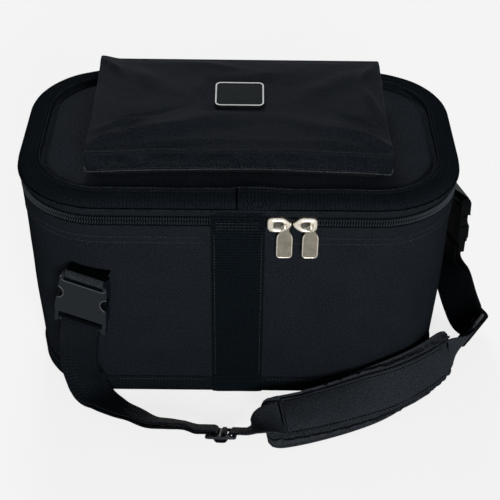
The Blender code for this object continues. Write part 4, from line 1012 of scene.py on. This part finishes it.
def badge_piece():
    """Bare moulded badge: a crowned field inside a light bead."""
    slope = math.atan2(ROOF_REAR - ROOF_FRONT, POCKET_REAR - POCKET_FRONT)
    place = Matrix.Translation((0, BADGE_Y, roof_at(BADGE_Y) + .0026 / math.cos(slope)))
    place = place @ Matrix.Rotation(slope, 4, 'X')
    count = len(rounded_loop(BADGE_X, -BADGE_HIGH, BADGE_HIGH, BADGE_CORNER, .004, 6))
    vertices = []
    for grow, z in BADGE_RINGS:
        loop = rounded_loop(BADGE_X + grow, -BADGE_HIGH - grow, BADGE_HIGH + grow, max(BADGE_CORNER + grow, .0012),
                            .004, 6)
        picks = np.linspace(0, len(loop), count, endpoint=False)
        vertices += [place @ Vector((*loop[int(pick) % len(loop)][:2], z)) for pick in picks]
    kinds = [0 if ring < 4 else (1 if ring < 7 else 2) for ring in range(len(BADGE_RINGS) - 1) for _ in range(count)]
    return piece("bare_badge", vertices, stacked(len(BADGE_RINGS), count), BADGE_BODY, "flap", ("badge",), angle=40,
                 kinds=kinds + [0, 2], finishes=(BADGE_RIM, BADGE_FIELD))


badge_piece()

# Sliders: share of the outline and depth behind the face; the rings from the last shoulder on are sunk
SLIDER_RINGS = ((.70, .0080), (.92, .0078), (1.0, .0070), (1.0, .0034), (.97, .0020), (.88, .0008), (.76, .0001),
                (.64, 0.0), (.55, .0005), (.48, .0013), (.40, .0018), (.20, .0020))
SLIDER_SIDES, SUNK_FROM, LUG_STEPS, LUG_SIDES = 40, 9, 20, 10
LUG_RADIUS, LUG_THICK, LUG_WIDE = .0030, .0010, .0013


def slider_body(side):
    """Cast slider: a domed shield with a sunk oval, and the ring that carries its pull."""
    low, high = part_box("slider_" + side)
    facing = 1 if side == "left" else -1
    middle_x, face_y = (low[0] + high[0]) / 2, low[1] + .0012
    half_x, half_z = (high[0] - low[0]) / 2 + .0008, (high[2] - low[2]) / 2 + .0013
    points = []
    for ring, (share, depth) in enumerate(SLIDER_RINGS):
        for step in range(SLIDER_SIDES):
            turn = FULL_TURN * step / SLIDER_SIDES
            c, s = math.cos(turn), math.sin(turn)
            nose = 1 - .42 * smooth_step(0.0, 1.0, c)
            x = facing * half_x * math.copysign(abs(c) ** (.70 if c > 0 else .45), c)
            z = half_z * nose * math.copysign(abs(s) ** (.85 if c > 0 else .62), s)
            inner = share * .80 if ring >= SUNK_FROM and c > 0 else share
            points.append((middle_x + x * inner, face_y + depth, ZIP_Z + z * share))
    faces = ring_faces(len(SLIDER_RINGS), SLIDER_SIDES)
    faces += ring_faces(LUG_STEPS, LUG_SIDES, True, len(points))
    lug_x = middle_x + (high[0] - low[0]) * .24
    for step in range(LUG_STEPS):
        turn = FULL_TURN * step / LUG_STEPS
        c, s = math.cos(turn), math.sin(turn)
        for part in range(LUG_SIDES):
            roll = FULL_TURN * part / LUG_SIDES
            reach = LUG_THICK * math.cos(roll)
            points.append((lug_x + LUG_WIDE * math.sin(roll), face_y - .0004 + LUG_RADIUS * -c - reach * c,
                           ZIP_Z + LUG_RADIUS * s + reach * s))
    kinds = [0] * (SUNK_FROM * SLIDER_SIDES) + [1] * ((len(SLIDER_RINGS) - 1 - SUNK_FROM) * SLIDER_SIDES)
    return piece("zip_slider_" + side, points, faces, NICKEL, "slider_" + side, ("slider_" + side,), angle=60,
                 kinds=kinds + [0, 1] + [0] * (LUG_STEPS * LUG_SIDES), finishes=(NICKEL_DEEP,))


PULL_SHOULDER = ((.82, .0038), (.91, .0056), (1.0, .0088), (1.0, .0130))


def pull_rim(side):
    """The raised bead round the pull's plain field."""
    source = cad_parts["pull_" + side]
    corners = np.array([source.matrix_world @ vertex.co for vertex in source.data.vertices])
    low, high = corners.min(axis=0), corners.max(axis=0)
    face_y = corners[corners[:, 2] < low[2] + .008, 1].min()
    half, foot, top, turn = (high[0] - low[0]) / 2 - .0007, low[2] + .0007, high[2] - .0062, .0030
    points = [(-share * half, top - drop) for share, drop in PULL_SHOULDER]
    for sense, start in ((-1, 180), (1, 270)):
        points += arc((sense * (half - turn), foot + turn), turn, start, start + 90, 6)
    points += [(share * half, top - drop) for share, drop in reversed(PULL_SHOULDER)]
    path = [((low[0] + high[0]) / 2 + x, face_y - .0001, z) for x, z in points]
    return tube("pull_rim_" + side, path, .0005, NICKEL, "pull_" + side, 8, (0, 1, 0))


# Moulded and metal pieces of each side: the buckle's depth axis, its finishes and its place; the left buckle's edges
# carry a painted highlight, and the right buckle is painted shade throughout.
for side, across, finish, edge_finish in (("left", (.275637, .961262, 0), PLASTIC, PLASTIC_HIGHLIGHT),
                                     ("right", (-.951056, -.309017, 0), PLASTIC_PAINTED_SHADE, None)):
    plug = side + "_plug"
    dressed(side + "_socket", side + "_receptacle", finish, "case", .0007, round_axis=across, round_width=.0018,
            hollows=True, edge_finish=edge_finish)
    dressed(plug + "_body", plug, finish, plug, .0006, round_axis=across, round_width=.0016, edge_finish=edge_finish)
    dressed(side + "_slide_bar", side + "_adjuster", PLASTIC, "case", .0009)
    for arm in ("a", "b"):
        # The catches take the plastic's painted-shade copy.
        dressed(side + "_catch_" + arm, side + "_arm_" + arm, PLASTIC_PAINTED_SHADE, side + "_arm_" + arm, .0005)
    tab = dressed(side + "_tab_webbing", side + "_tab", TAB_PAINTED_SHADE, "case", .0004, 2)
    # Painted light and shade on the tab: faces turned out from the buckle take the pale copy, the rest stay near black.
    tab.data.materials.append(TAB_PAINTED_LIGHT)
    for face in tab.data.polygons:
        if face.normal.dot(Vector(across)) < -.45:
            face.material_index = 1
    slider_body(side)
    dressed("zip_pull_" + side, "pull_" + side, PULL_FIELD, "pull_" + side, .0006, round_axis=(0, 1, 0),
            round_width=.0030, edge_finish=PULL_PLATE)
    pull_rim(side)

# Rims of the buckles' side windows and slots, in the buckle's frame: x to the right, y inwards, z up
WINDOW_X, WINDOW_Z, WINDOW_REACH, WINDOW_RISE, WINDOW_INNER = .0250, -.0245, .0064, .0072, .0176
SHELL_FACE, SHELL_THICK = -.0055, .0019
SLOT_HALF = mm((19.6, -9.0), (21.6, -7.8), (22.9, -5.2), (22.2, -2.6))


def buckle_rims(side, place, standoff, finish):
    face = SHELL_FACE - standoff
    for sign, mark in ((-1, "a"), (1, "b")):
        turns = [math.radians(-86 + 172 * step / 16) for step in range(17)]
        arc_points = [(sign * (WINDOW_X - WINDOW_REACH * math.cos(turn)), WINDOW_Z + WINDOW_RISE * math.sin(turn))
                      for turn in turns]
        inner, back = sign * WINDOW_INNER, face + SHELL_THICK
        vertices = [place @ Vector((px, py - .00004, z)) for x, z in arc_points
                    for px, py in ((x, face), (x, back), (inner, back), (inner, face))]
        piece(side + "_window_" + mark, vertices, ring_faces(len(arc_points), 4), finish, "case", angle=30)
        # Painted highlight: the windows' rims are cords of the pale plastic.
        tube(side + "_rim_" + mark, [place @ Vector((x, face, z)) for x, z in arc_points], .00062, PLASTIC_HIGHLIGHT,
             "case", 8)
    ridge = [(-x, z) for x, z in reversed(SLOT_HALF)] + SLOT_HALF
    # Painted highlight along the slot's ridge.
    tube(side + "_slot_rim", [place @ Vector((x, face, z)) for x, z in ridge], .00055, PLASTIC_HIGHLIGHT, "case", 8)


# Shoulder strap: the same route as the solids, in shares of half the length, half the width and the webbing
STRAP_WIDTH, STRAP_THICK, LAYER_PITCH = .038, .0017, .0022
ADJ_WIDTH, ADJ_THICK, ADJ_SLOT, ADJ_BAR = .0300, .0030, .0080, .0050
WRAP, THREAD_REACH = STRAP_THICK / 2 + .0005, ADJ_WIDTH / 2 + STRAP_WIDTH / 12
BUCKLE_HEIGHT, PLUG_REACH, PLUG_BAR = .0460, .0180, .0020
PAD_WIDTH, PAD_TOP, PAD_UNDER, PAD_EDGE, CHANNEL_HALF = .057, .0062, .0045, .0014, .0210
CLOTH_SCALE, CLOTH_FRAMES, CLOTH_CAP = 10.0, 20, .0022

# Each place, the direction across the webbing and, on a doubled run, half the space between its layers
left_hang = (
    (-.748, -1.010, .620, (.96, -.24, -.08), .060), (-.748, -1.035, .435, (.97, -.16, .10), .060),
    (-.730, -1.055, .300, (.93, 0.0, .20), .060), (-.695, -1.105, .188, (.72, .64, .03), .060),
)
left_run = (
    (-.642, -1.168, .320, (.42, .86, -.27), .058), (-.576, -1.258, .320, (.21, .88, -.42), .050),
    (-.487, -1.348, .350, (.06, .86, -.50), .046), (-.402, -1.447, .415, (0.0, .82, -.57), .050),
    (-.298, -1.515, .550, (-.03, .77, -.64), .060), (-.231, -1.542, .590, (-.03, .76, -.65), .050),
)
right_hang = (
    (1.094, .255, .805, (-.32, .95, 0.0), .100), (1.104, .215, .630, (-.55, .83, -.05), .130),
    (1.130, .085, .440, (-.84, .50, -.15), .140), (1.156, -.085, .319, (-.88, .25, -.42), .120),
    (1.178, -.225, .277, (-.70, .08, -.70), .090),
)
left_lead = (
    (.082, -1.566, .610, (-.10, .84, -.50)), (.119, -1.531, .640, (-.36, .88, -.22)),
    (.160, -1.477, .600, (-.44, .89, .10)),
)
pad_route = (
    (.133, -1.422, (-.20, .93, .31)), (.255, -1.380, (-.15, .94, .31)), (.443, -1.288, (-.18, .88, .43)),
    (.619, -1.178, (-.29, .72, .62)), (.757, -1.078, (-.25, .40, .88)), (.898, -.908, (-.18, .26, .95)),
    (.972, -.788, (-.15, .16, .97)), (1.035, -.678, (-.13, .10, .98)),
)
left_adjuster = (-.066, -1.583, .455, (0.0, .80, -.60), (.99, -.04, .02))
right_adjuster = (1.152, -.462, .72, (-.44, -.02, -.88), (-.48, -.85, .20))


def scaled(x, y, z):
    return np.array((x * HALF_LENGTH, y * HALF_WIDTH, z * STRAP_WIDTH))


def curve_through(rows, step_length, resample=1):
    """Smooth curve through rows that start with a place; resample splits each of the solid's steps."""
    rows = np.array(rows, dtype=float)
    lengths = np.linalg.norm(np.diff(rows[:, :3], axis=0), axis=1)
    weights = lengths[:, None]
    changes = np.diff(rows, axis=0) / weights
    inside = (changes[:-1] * weights[1:] + changes[1:] * weights[:-1]) / (weights[:-1] + weights[1:])
    slopes = np.vstack((changes[:1], inside, changes[-1:]))
    made = []
    for index, length in enumerate(lengths):
        steps = max(round(length / step_length), 1) * resample
        for step in range(steps):
            t = step / steps
            rise = t * t * (3 - 2 * t)
            made.append(rows[index] * (1 - rise) + rows[index + 1] * rise
                        + length * t * (1 - t) * (slopes[index] * (1 - t) - slopes[index + 1] * t))
    return np.array(made + [rows[-1]])


def square_to(vector, axis):
    return unit(vector - axis * np.dot(vector, axis))


def frames_along(samples):
    """Place, direction across and normal at each sample, which holds a place and a direction."""
    frames = []
    for sample, tangent in zip(samples, np.gradient(samples[:, :3], axis=0)):
        tangent = unit(tangent)
        across = square_to(sample[3:6], tangent)
        frames.append((sample[:3], across, np.cross(tangent, across)))
    return frames


def refined(frames, times=2):
    """Frames split further on a smooth curve, so that webbing turns evenly."""
    made = []
    places = np.array([f[0] for f in frames])
    slopes = np.gradient(places, axis=0)
    for index in range(len(frames) - 1):
        for step in range(times):
            t = step / times
            rise = t * t * (3 - 2 * t)
            spot = places[index] * (1 - rise) + places[index + 1] * rise
            spot = spot + t * (1 - t) * (slopes[index] * (1 - t) - slopes[index + 1] * t)
            side, normal = (frames[index][k] * (1 - t) + frames[index + 1][k] * t for k in (1, 2))
            side = unit(side)
            made.append((spot, side, square_to(normal, side)))
    return made + [frames[-1]]


def adjuster_frame(shares):
    x, y, z, across, along = shares
    along = unit(np.array(along))
    across = square_to(np.array(across), along)
    return scaled(x, y, z), along, across, np.cross(across, along)


HALF_BAR, DEEP = ADJ_BAR / 2, ADJ_THICK / 2


def thread_over():
    entry = [(-THREAD_REACH, -DEEP - WRAP), (-(ADJ_WIDTH / 2), -DEEP - WRAP)]
    entry += arc((-HALF_BAR - ADJ_SLOT, -DEEP), WRAP, -90, -40, 3)
    entry += arc((-HALF_BAR, DEEP), WRAP + LAYER_PITCH, 150, 90, 4)
    return entry + [(-along, out) for along, out in reversed(entry)]


def thread_sewn():
    drop = DEEP + WRAP + LAYER_PITCH
    path = [(-THREAD_REACH, -drop), (-ADJ_WIDTH / 2, -drop)]
    path += arc((-(HALF_BAR + WRAP + drop), 0), drop, -90, -20, 5)
    for along, out, start in ((-HALF_BAR, DEEP, 180), (HALF_BAR, DEEP, 90), (HALF_BAR, -DEEP, 0)):
        path += arc((along, out), WRAP, start, start - 90, 3)
    return path + [(0, -DEEP - WRAP)]


def plane_frames(points, centre, along, across, out):
    places = np.array(points)
    return [(centre + along * a + out * b, across, unit(step_b * along - step_a * out))
            for (a, b), (step_a, step_b) in zip(places, np.gradient(places, axis=0))]


def ribbon(name, frames, material, body, stands_for):
    """Webbing through frames, with soft edges and a slight cup."""
    half, deep = STRAP_WIDTH / 2, STRAP_THICK / 2
    side = [(1.0, 0.0), (.992, .62), (.965, .96), (.80, 1.0), (.55, 1.0), (.27, 1.0)]
    face = [(-v, m) for v, m in side] + [(0.0, 1.0)] + side[::-1]
    section = [(v * half, m * deep) for v, m in face] + [(v * half, -m * deep) for v, m in reversed(face[1:-1])]
    rings = [[(middle + across * v + normal * m, (along, v)) for v, m in section]
             for (middle, across, normal), along in zip(frames, travel([f[0] for f in frames]))]
    return loft(name, rings, material, body, stands_for)


def strap_frames(turn, bar, hang, run, adjuster):
    """The doubled webbing from an adjuster round the plug's bar and back."""
    start_across, start_down, start_out = turn[:, 0], -turn[:, 2], -turn[:, 1]
    wrap = PLUG_BAR + GAP + STRAP_THICK / 2
    centre, along, across, out = adjuster_frame(adjuster)
    rows = [(*bar, *start_across, wrap), (*(bar + start_down * STRAP_WIDTH / 6), *start_across, wrap)]
    places = [((x * HALF_LENGTH, y * HALF_WIDTH, z * bar[2]), *rest) for x, y, z, *rest in hang]
    places += [(scaled(x, y, z), *rest) for x, y, z, *rest in run]
    rows += [(*spot, *unit(np.array(direction)), spacing * STRAP_WIDTH) for spot, direction, spacing in places]
    entry = centre + out * -(ADJ_THICK / 2 + WRAP + LAYER_PITCH / 2) - along * THREAD_REACH
    rows.append((*(entry - along * STRAP_WIDTH / 6), *across, LAYER_PITCH / 2))
    rows.append((*entry, *across, LAYER_PITCH / 2))
    samples = curve_through(rows, .0040)
    route = list(zip(frames_along(samples), samples[:, 6]))
    inner = [(m - n * space, side, -n) for (m, side, n), space in route]
    outer = [(m + n * space, side, n) for (m, side, n), space in route]
    around = []
    for step in range(1, 8):
        bearing = math.pi * step / 8
        spoke = -math.cos(bearing) * start_out - math.sin(bearing) * start_down
        around.append((bar + wrap * spoke, start_across, spoke))
    over = [(spot, side, -n) for spot, side, n in plane_frames(thread_over(), centre, along, across, out)]
    sewn = plane_frames(thread_sewn(), centre, along, across, out)
    return over[::-1][:-1] + inner[::-1] + around + outer[:-1] + sewn


left_place = (Matrix.Translation((-.13944, -.117597, .160489)) @ Matrix.Rotation(math.radians(-16), 4, 'Z')
              @ Matrix.Rotation(math.radians(9), 4, 'Y'))
right_place = Matrix.Translation((.206724, .0243, .153009)) @ Matrix.Rotation(math.radians(108), 4, 'Z')
BAR_DEPTH = -BUCKLE_HEIGHT - PLUG_REACH + PLUG_BAR
for side, place, standoff, hang, run, adjuster, finish, webbing in (
        ("left", left_place, .0115, left_hang, left_run, left_adjuster, PLASTIC, WEBBING),
        ("right", right_place, .0235, right_hang, (), right_adjuster, PLASTIC_PAINTED_SHADE, WEBBING_DARK)):
    buckle_rims(side, place, standoff, finish)
    bar = place @ Vector((0, -standoff, BAR_DEPTH))
    down = place.to_3x3() @ Vector((0, 0, -1))
    frames = refined(strap_frames(np.array(place.to_3x3()), np.array(bar), hang, run, adjuster))
    strap = ribbon(side + "_webbing", frames, webbing, None, ("strap_" + side,))
    side + "_plug"
    bar + down * .062
    bar + down * .004
    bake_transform(strap)


# Shoulder pad


def pad_frames(resample=1):
    rows = []
    for x, y, across in pad_route:
        across = unit(np.array(across))
        rows.append((x * HALF_LENGTH, y * HALF_WIDTH, across[2] * PAD_WIDTH / 2 + PAD_EDGE + .0006, *across))
    samples = curve_through(rows, .0065, resample)
    return frames_along(samples), travel(samples[:, :3])


def pad_half(distance, total):
    end = min(min(distance, total - distance) / .016, 1)
    swell = math.sqrt(max(1 - (1 - end) ** 2, 0))
    draw = .0012 * math.sin(math.pi * distance / total)
    return PAD_WIDTH / 2 - .016 * (1 - swell) / 2 - draw, .35 + .65 * swell


def pad_profile(distance, total):
    half, puff = pad_half(distance, total)
    top = PAD_EDGE + (PAD_TOP - PAD_EDGE) * puff
    under = PAD_EDGE + (PAD_UNDER - PAD_EDGE) * puff
    flat = min(CHANNEL_HALF, half - .0056)
    upper = [(half, 0.0), (half - .0002, PAD_EDGE * .8), (half - .0012, PAD_EDGE * 1.15),
             (half - .0021, PAD_EDGE * .9), (half - .0030, PAD_EDGE * 1.6), (half - .0040, top * 1.05),
             (flat + .0030, top * 1.42), (flat + .0016, top * 1.36), (flat + .0008, top - .0006 * puff),
             (flat + .0002, top - .0003), (flat - .002, top), (flat * .6, top), (flat * .3, top)]
    lower = [(half - .0006, -PAD_EDGE * .9), (half - .0016, -PAD_EDGE * 1.1), (half - .0028, -PAD_EDGE),
             (half - .0060, -under * .75), (half * .62, -under), (half * .30, -under)]
    return (upper + [(0.0, top)] + [(-v, m) for v, m in reversed(upper)] + [(-v, m) for v, m in lower]
            + [(0.0, -under)] + lower[::-1])


def puffed(vertices, faces, held):
    """The pad's cover blown up by its filling: cloth under pressure, held where it is sewn."""
    start = np.array(vertices, dtype=float)
    mesh = bpy.data.meshes.new("pad_cloth_trial")
    mesh.from_pydata([tuple(v) for v in start * CLOTH_SCALE], [], faces)
    with_normals(mesh)
    trial = bpy.data.objects.new("pad_cloth_trial", mesh)
    scene.collection.objects.link(trial)
    trial.vertex_groups.new(name="sewn").add(held, 1.0, 'REPLACE')
    cover = trial.modifiers.new("cloth", 'CLOTH')
    for key, value in dict(quality=6, mass=.3, use_pressure=True, uniform_pressure_force=4, tension_stiffness=8,
                           compression_stiffness=4, bending_stiffness=.05, shrink_min=-.05,
                           vertex_group_mass="sewn").items():
        setattr(cover.settings, key, value)
    cover.settings.effector_weights.gravity = 0
    cover.collision_settings.use_collision = cover.collision_settings.use_self_collision = False
    cover.point_cache.frame_start, cover.point_cache.frame_end = 1, CLOTH_FRAMES
    for count in range(1, CLOTH_FRAMES + 1):
        scene.frame_set(count)
    graph = bpy.context.evaluated_depsgraph_get()
    places = np.zeros(len(start) * 3)
    trial.evaluated_get(graph).to_mesh().vertices.foreach_get("co", places)
    trial.evaluated_get(graph).to_mesh_clear()
    bpy.data.objects.remove(trial)
    bpy.data.meshes.remove(mesh)
    scene.frame_set(1)
    moves = places.reshape(-1, 3) / CLOTH_SCALE - start
    reach = np.linalg.norm(moves, axis=1)[:, None]
    moves *= CLOTH_CAP * np.tanh(reach / CLOTH_CAP) / np.maximum(reach, 1e-9)
    moved = start + moves
    moved[:, 2] = np.maximum(moved[:, 2], np.minimum(start[:, 2], .0008))
    return moved


FINE, FINE_MARKS = pad_frames(2)
COARSE, COARSE_MARKS = pad_frames(1)
PAD_LENGTH = FINE_MARKS[-1]
inside = [i for i, mark in enumerate(COARSE_MARKS) if .065 * COARSE_MARKS[-1] <= mark <= .945 * COARSE_MARKS[-1]]
FIRST, LAST = inside[0], inside[-1]


def pad_piece():
    rings, held = [], []
    for index, ((middle, across, normal), mark) in enumerate(zip(FINE, FINE_MARKS)):
        loop = pad_profile(mark, PAD_LENGTH)
        fade = smooth_step(0, .02, min(mark, PAD_LENGTH - mark))
        ring = []
        for v, m in loop:
            spot = middle + across * v + normal * m
            open_cloth = smooth_step(CHANNEL_HALF + .0012, CHANNEL_HALF + .003, abs(v))
            under = 1.0 if m < -PAD_EDGE * 1.2 else 0.0
            pucker = .0004 * math.sin(mark / .0052 * 2 + 3 * wander(*spot, .03, 2.0))
            soft = (pucker + .0006 * wander(*spot, .014, 5.0)) * fade * max(open_cloth * (m > .002), under * .3)
            spot = spot + normal * (soft if m > 0 else min(soft, .0002) * -1)
            sewn = abs(v) > loop[4][0] - .0002 or (m > 0 and abs(v) < CHANNEL_HALF + .0014)
            if sewn or index < 3 or index > len(FINE) - 4:
                held.append(index * len(loop) + len(ring))
            ring.append((spot, (mark, v)))
        rings.append(ring)
    vertices = [spot for ring in rings for spot, uv in ring]
    faces = ring_faces(len(FINE), len(rings[0]))
    vertices = puffed(vertices, faces, held)
    made = piece("strap_pad", vertices, faces, PAD_CLOTH, "case", ("shoulder_pad",),
                 [uv for ring in rings for spot, uv in ring])


ROOF = PAD_TOP + 3 * GAP + STRAP_THICK
SLEEVE_TOP = ROOF + .0014


def sleeve_piece():
    wide, slim, foot, top = CHANNEL_HALF - GAP, CHANNEL_HALF - GAP - .0014, PAD_TOP + GAP, SLEEVE_TOP
    half = [(slim, foot), (wide - .0002, foot), (wide, foot + .0006), (wide - .0001, ROOF), (wide - .0007, top - .0002),
            (slim - .0004, top), (slim - .0022, top - .0003), (slim - .0040, top + .0003),
            (slim * .66, top + .0012), (slim * .45, top + .0019), (slim * .22, top + .0023)]
    section = half + [(0.0, top + .0024)] + [(-v, m) for v, m in reversed(half)]
    section += [(-slim, ROOF), (0.0, ROOF), (slim, ROOF)]
    rings = []
    for (middle, across, normal), mark in list(zip(FINE, FINE_MARKS))[2 * FIRST:2 * LAST + 1]:
        ring = []
        for v, m in section:
            ripple = 0.0
            if m > ROOF + .0008 and abs(v) < slim:
                ripple = .0006 * wander(mark, v * .6, 0, .010, 1.0) + .0009 * wander(mark * .5, v, 0, .016, 3.0)
            ring.append((middle + across * v + normal * (m + max(ripple, -.0003)), (mark, v)))
        rings.append(ring)
    return loft("pad_sleeve", rings, SLEEVE, "case", ("pad_channel",), slot="nylon")


def on_pad(index, aside, height):
    """A place over the pad and the way it faces."""
    middle, across, normal = FINE[index]
    return middle + across * aside + normal * height, normal


def sleeve_rows():
    rows = [[on_pad(index, sign * .0172, SLEEVE_TOP - .00005) for index in range(2 * FIRST + 1, 2 * LAST)]
            for sign in (-1, 1)]
    return rows + [[on_pad(index, v, SLEEVE_TOP + .0001) for v in (-.016, -.008, 0.0, .008, .016)]
                   for index in (2 * FIRST + 1, 2 * LAST - 1)]


def pad_edge_rows():
    inner = [i for i, mark in enumerate(FINE_MARKS) if .010 < mark < PAD_LENGTH - .010]
    return [[on_pad(i, sign * (pad_half(FINE_MARKS[i], PAD_LENGTH)[0] - .0021), PAD_EDGE * .95) for i in inner]
            for sign in (-1, 1)]


def lead(adjuster, lead_rows, targets, sense):
    """Webbing from an adjuster to the first place on the pad."""
    centre, along, across, out = adjuster_frame(adjuster)
    begin_at = centre - out * (ADJ_THICK / 2 + WRAP) + along * (THREAD_REACH + GAP)
    side = sense * across
    rows = [(*begin_at, *side), (*(begin_at + along * STRAP_WIDTH / 8), *side)]
    rows += [(*scaled(x, y, z), *unit(np.array(direction))) for x, y, z, direction in lead_rows]
    rows += [(*m, *pad_side) for m, pad_side, n in targets]
    samples = curve_through(rows, .0040)
    end = int(np.argmin(np.linalg.norm(samples[:, :3] - targets[0][0], axis=1)))
    return [(begin_at, side, -sense * out)] + frames_along(samples)[1:end]


def middle_strap():
    height = PAD_TOP + GAP + STRAP_THICK / 2
    over_pad = [(m + n * height, across, n) for m, across, n in COARSE[FIRST:-1]]
    lead_in = lead(left_adjuster, left_lead, over_pad[:2], 1)
    lead_out = lead(right_adjuster, (), over_pad[:-3:-1], -1)
    frames = lead_in + over_pad + [(m, across, -n) for m, across, n in reversed(lead_out)]
    return ribbon("middle_webbing", refined(frames), WEBBING_PALE, "case", ("strap_middle",))


pad_piece()
sleeve_piece()
stitches("sleeve_stitches", sleeve_rows(), "case", .0034, .0028, .00048, material=DARK_THREAD_AND_SHADE)
# Painted shade: near-black cords across the sleeve's ends stand for their shadow lines.
for end, index in (("start", 2 * FIRST - 1), ("end", 2 * LAST + 1)):
    path = [on_pad(index, v, PAD_TOP + GAP + STRAP_THICK + .0005)[0] for v in np.linspace(-.0175, .0175, 9)]
    tube("sleeve_end_shade_" + end, path, .0009, DARK_THREAD_AND_SHADE, "case", 8)
stitches("pad_stitches", pad_edge_rows(), "case")
middle_strap()

# Camera, floor and light
FOCUS_POINT, DISTANCE, LENS_PIXELS, FRAME_PIXELS, SENSOR = (.0122, .0025, .0921), 1.280, 1207.1, 500, 36
elevation, yaw, roll = math.radians(37.77), math.radians(-.38), math.radians(.82)
back = Vector((math.sin(yaw) * math.cos(elevation), -math.cos(yaw) * math.cos(elevation), math.sin(elevation)))
right = (-back).cross(Vector((0, 0, 1))).normalized()
up = right.cross(-back)
camera = bpy.data.objects.new("camera", bpy.data.cameras.new("camera"))
camera.data.sensor_width = SENSOR
camera.data.lens = LENS_PIXELS / FRAME_PIXELS * SENSOR
camera.data.clip_end = 20
stand = Matrix((math.cos(roll) * right + math.sin(roll) * up, -math.sin(roll) * right + math.cos(roll) * up, back))
stand = stand.transposed().to_4x4()
stand.translation = Vector(FOCUS_POINT) + back * DISTANCE
camera.matrix_world = stand
scene.collection.objects.link(camera)
scene.camera = camera


def seen_white(tree, shader, white, share, output):
    """Mix a shader with plain white for what the camera, mirrors and glass see."""
    light = node(tree, "ShaderNodeLightPath")
    camera_ray, glossy, through = (Signal(tree, light.outputs["Is %s Ray" % kind])
                                   for kind in ("Camera", "Glossy", "Transmission"))
    mixed = node(tree, "ShaderNodeMixShader")
    fill(mixed.inputs[0], camera_ray.math('MAXIMUM', glossy).math('MAXIMUM', through) * share)
    tree.links.new(shader.outputs[0], mixed.inputs[1])
    tree.links.new(white.outputs[0], mixed.inputs[2])
    tree.links.new(mixed.outputs[0], tree.nodes[output].inputs["Surface"])


floor_material = bpy.data.materials.new("studio_floor")
floor_material.use_nodes = True
floor_tree = floor_material.node_tree
floor_shader = floor_tree.nodes["Principled BSDF"]
for key, value in (("Base Color", (.90, .90, .90, 1)), ("Roughness", .9), ("Specular IOR Level", 0.0)):
    floor_shader.inputs[key].default_value = value
glow = node(floor_tree, "ShaderNodeEmission")
glow.inputs["Strength"].default_value = 1.0
seen_white(floor_tree, floor_shader, glow, .80, "Material Output")
FLOOR_HALF, FLOOR_Z = 4, -.0004
floor_mesh = bpy.data.meshes.new("floor")
floor_mesh.from_pydata([(x * FLOOR_HALF, y * FLOOR_HALF, FLOOR_Z) for x, y in ((-1, -1), (1, -1), (1, 1), (-1, 1))],
                       [], [(0, 1, 2, 3)])
floor_mesh.materials.append(floor_material)
floor = bpy.data.objects.new("floor", floor_mesh)
scene.collection.objects.link(floor)

world = bpy.data.worlds.new("studio")
world.use_nodes = True
scene.world = world
plain, white = world.node_tree.nodes["Background"], node(world.node_tree, "ShaderNodeBackground")
for shader, strength in ((plain, .15), (white, 1.0)):
    shader.inputs["Color"].default_value = (1, 1, 1, 1)
    shader.inputs["Strength"].default_value = strength
seen_white(world.node_tree, plain, white, 1.0, "World Output")

for name, place, size, power in (("front", (.35, -2.0, .85), .6, 31), ("back", (-.25, 1.25, 1.55), .5, 12)):
    lamp = bpy.data.lights.new(name, 'AREA')
    lamp.energy, lamp.size = power, size
    holder = bpy.data.objects.new(name, lamp)
    holder.location = place
    holder.rotation_euler = (Vector((0, 0, .1)) - Vector(place)).to_track_quat('-Z', 'Y').to_euler()
    scene.collection.objects.link(holder)

scene.view_settings.view_transform = 'Standard'
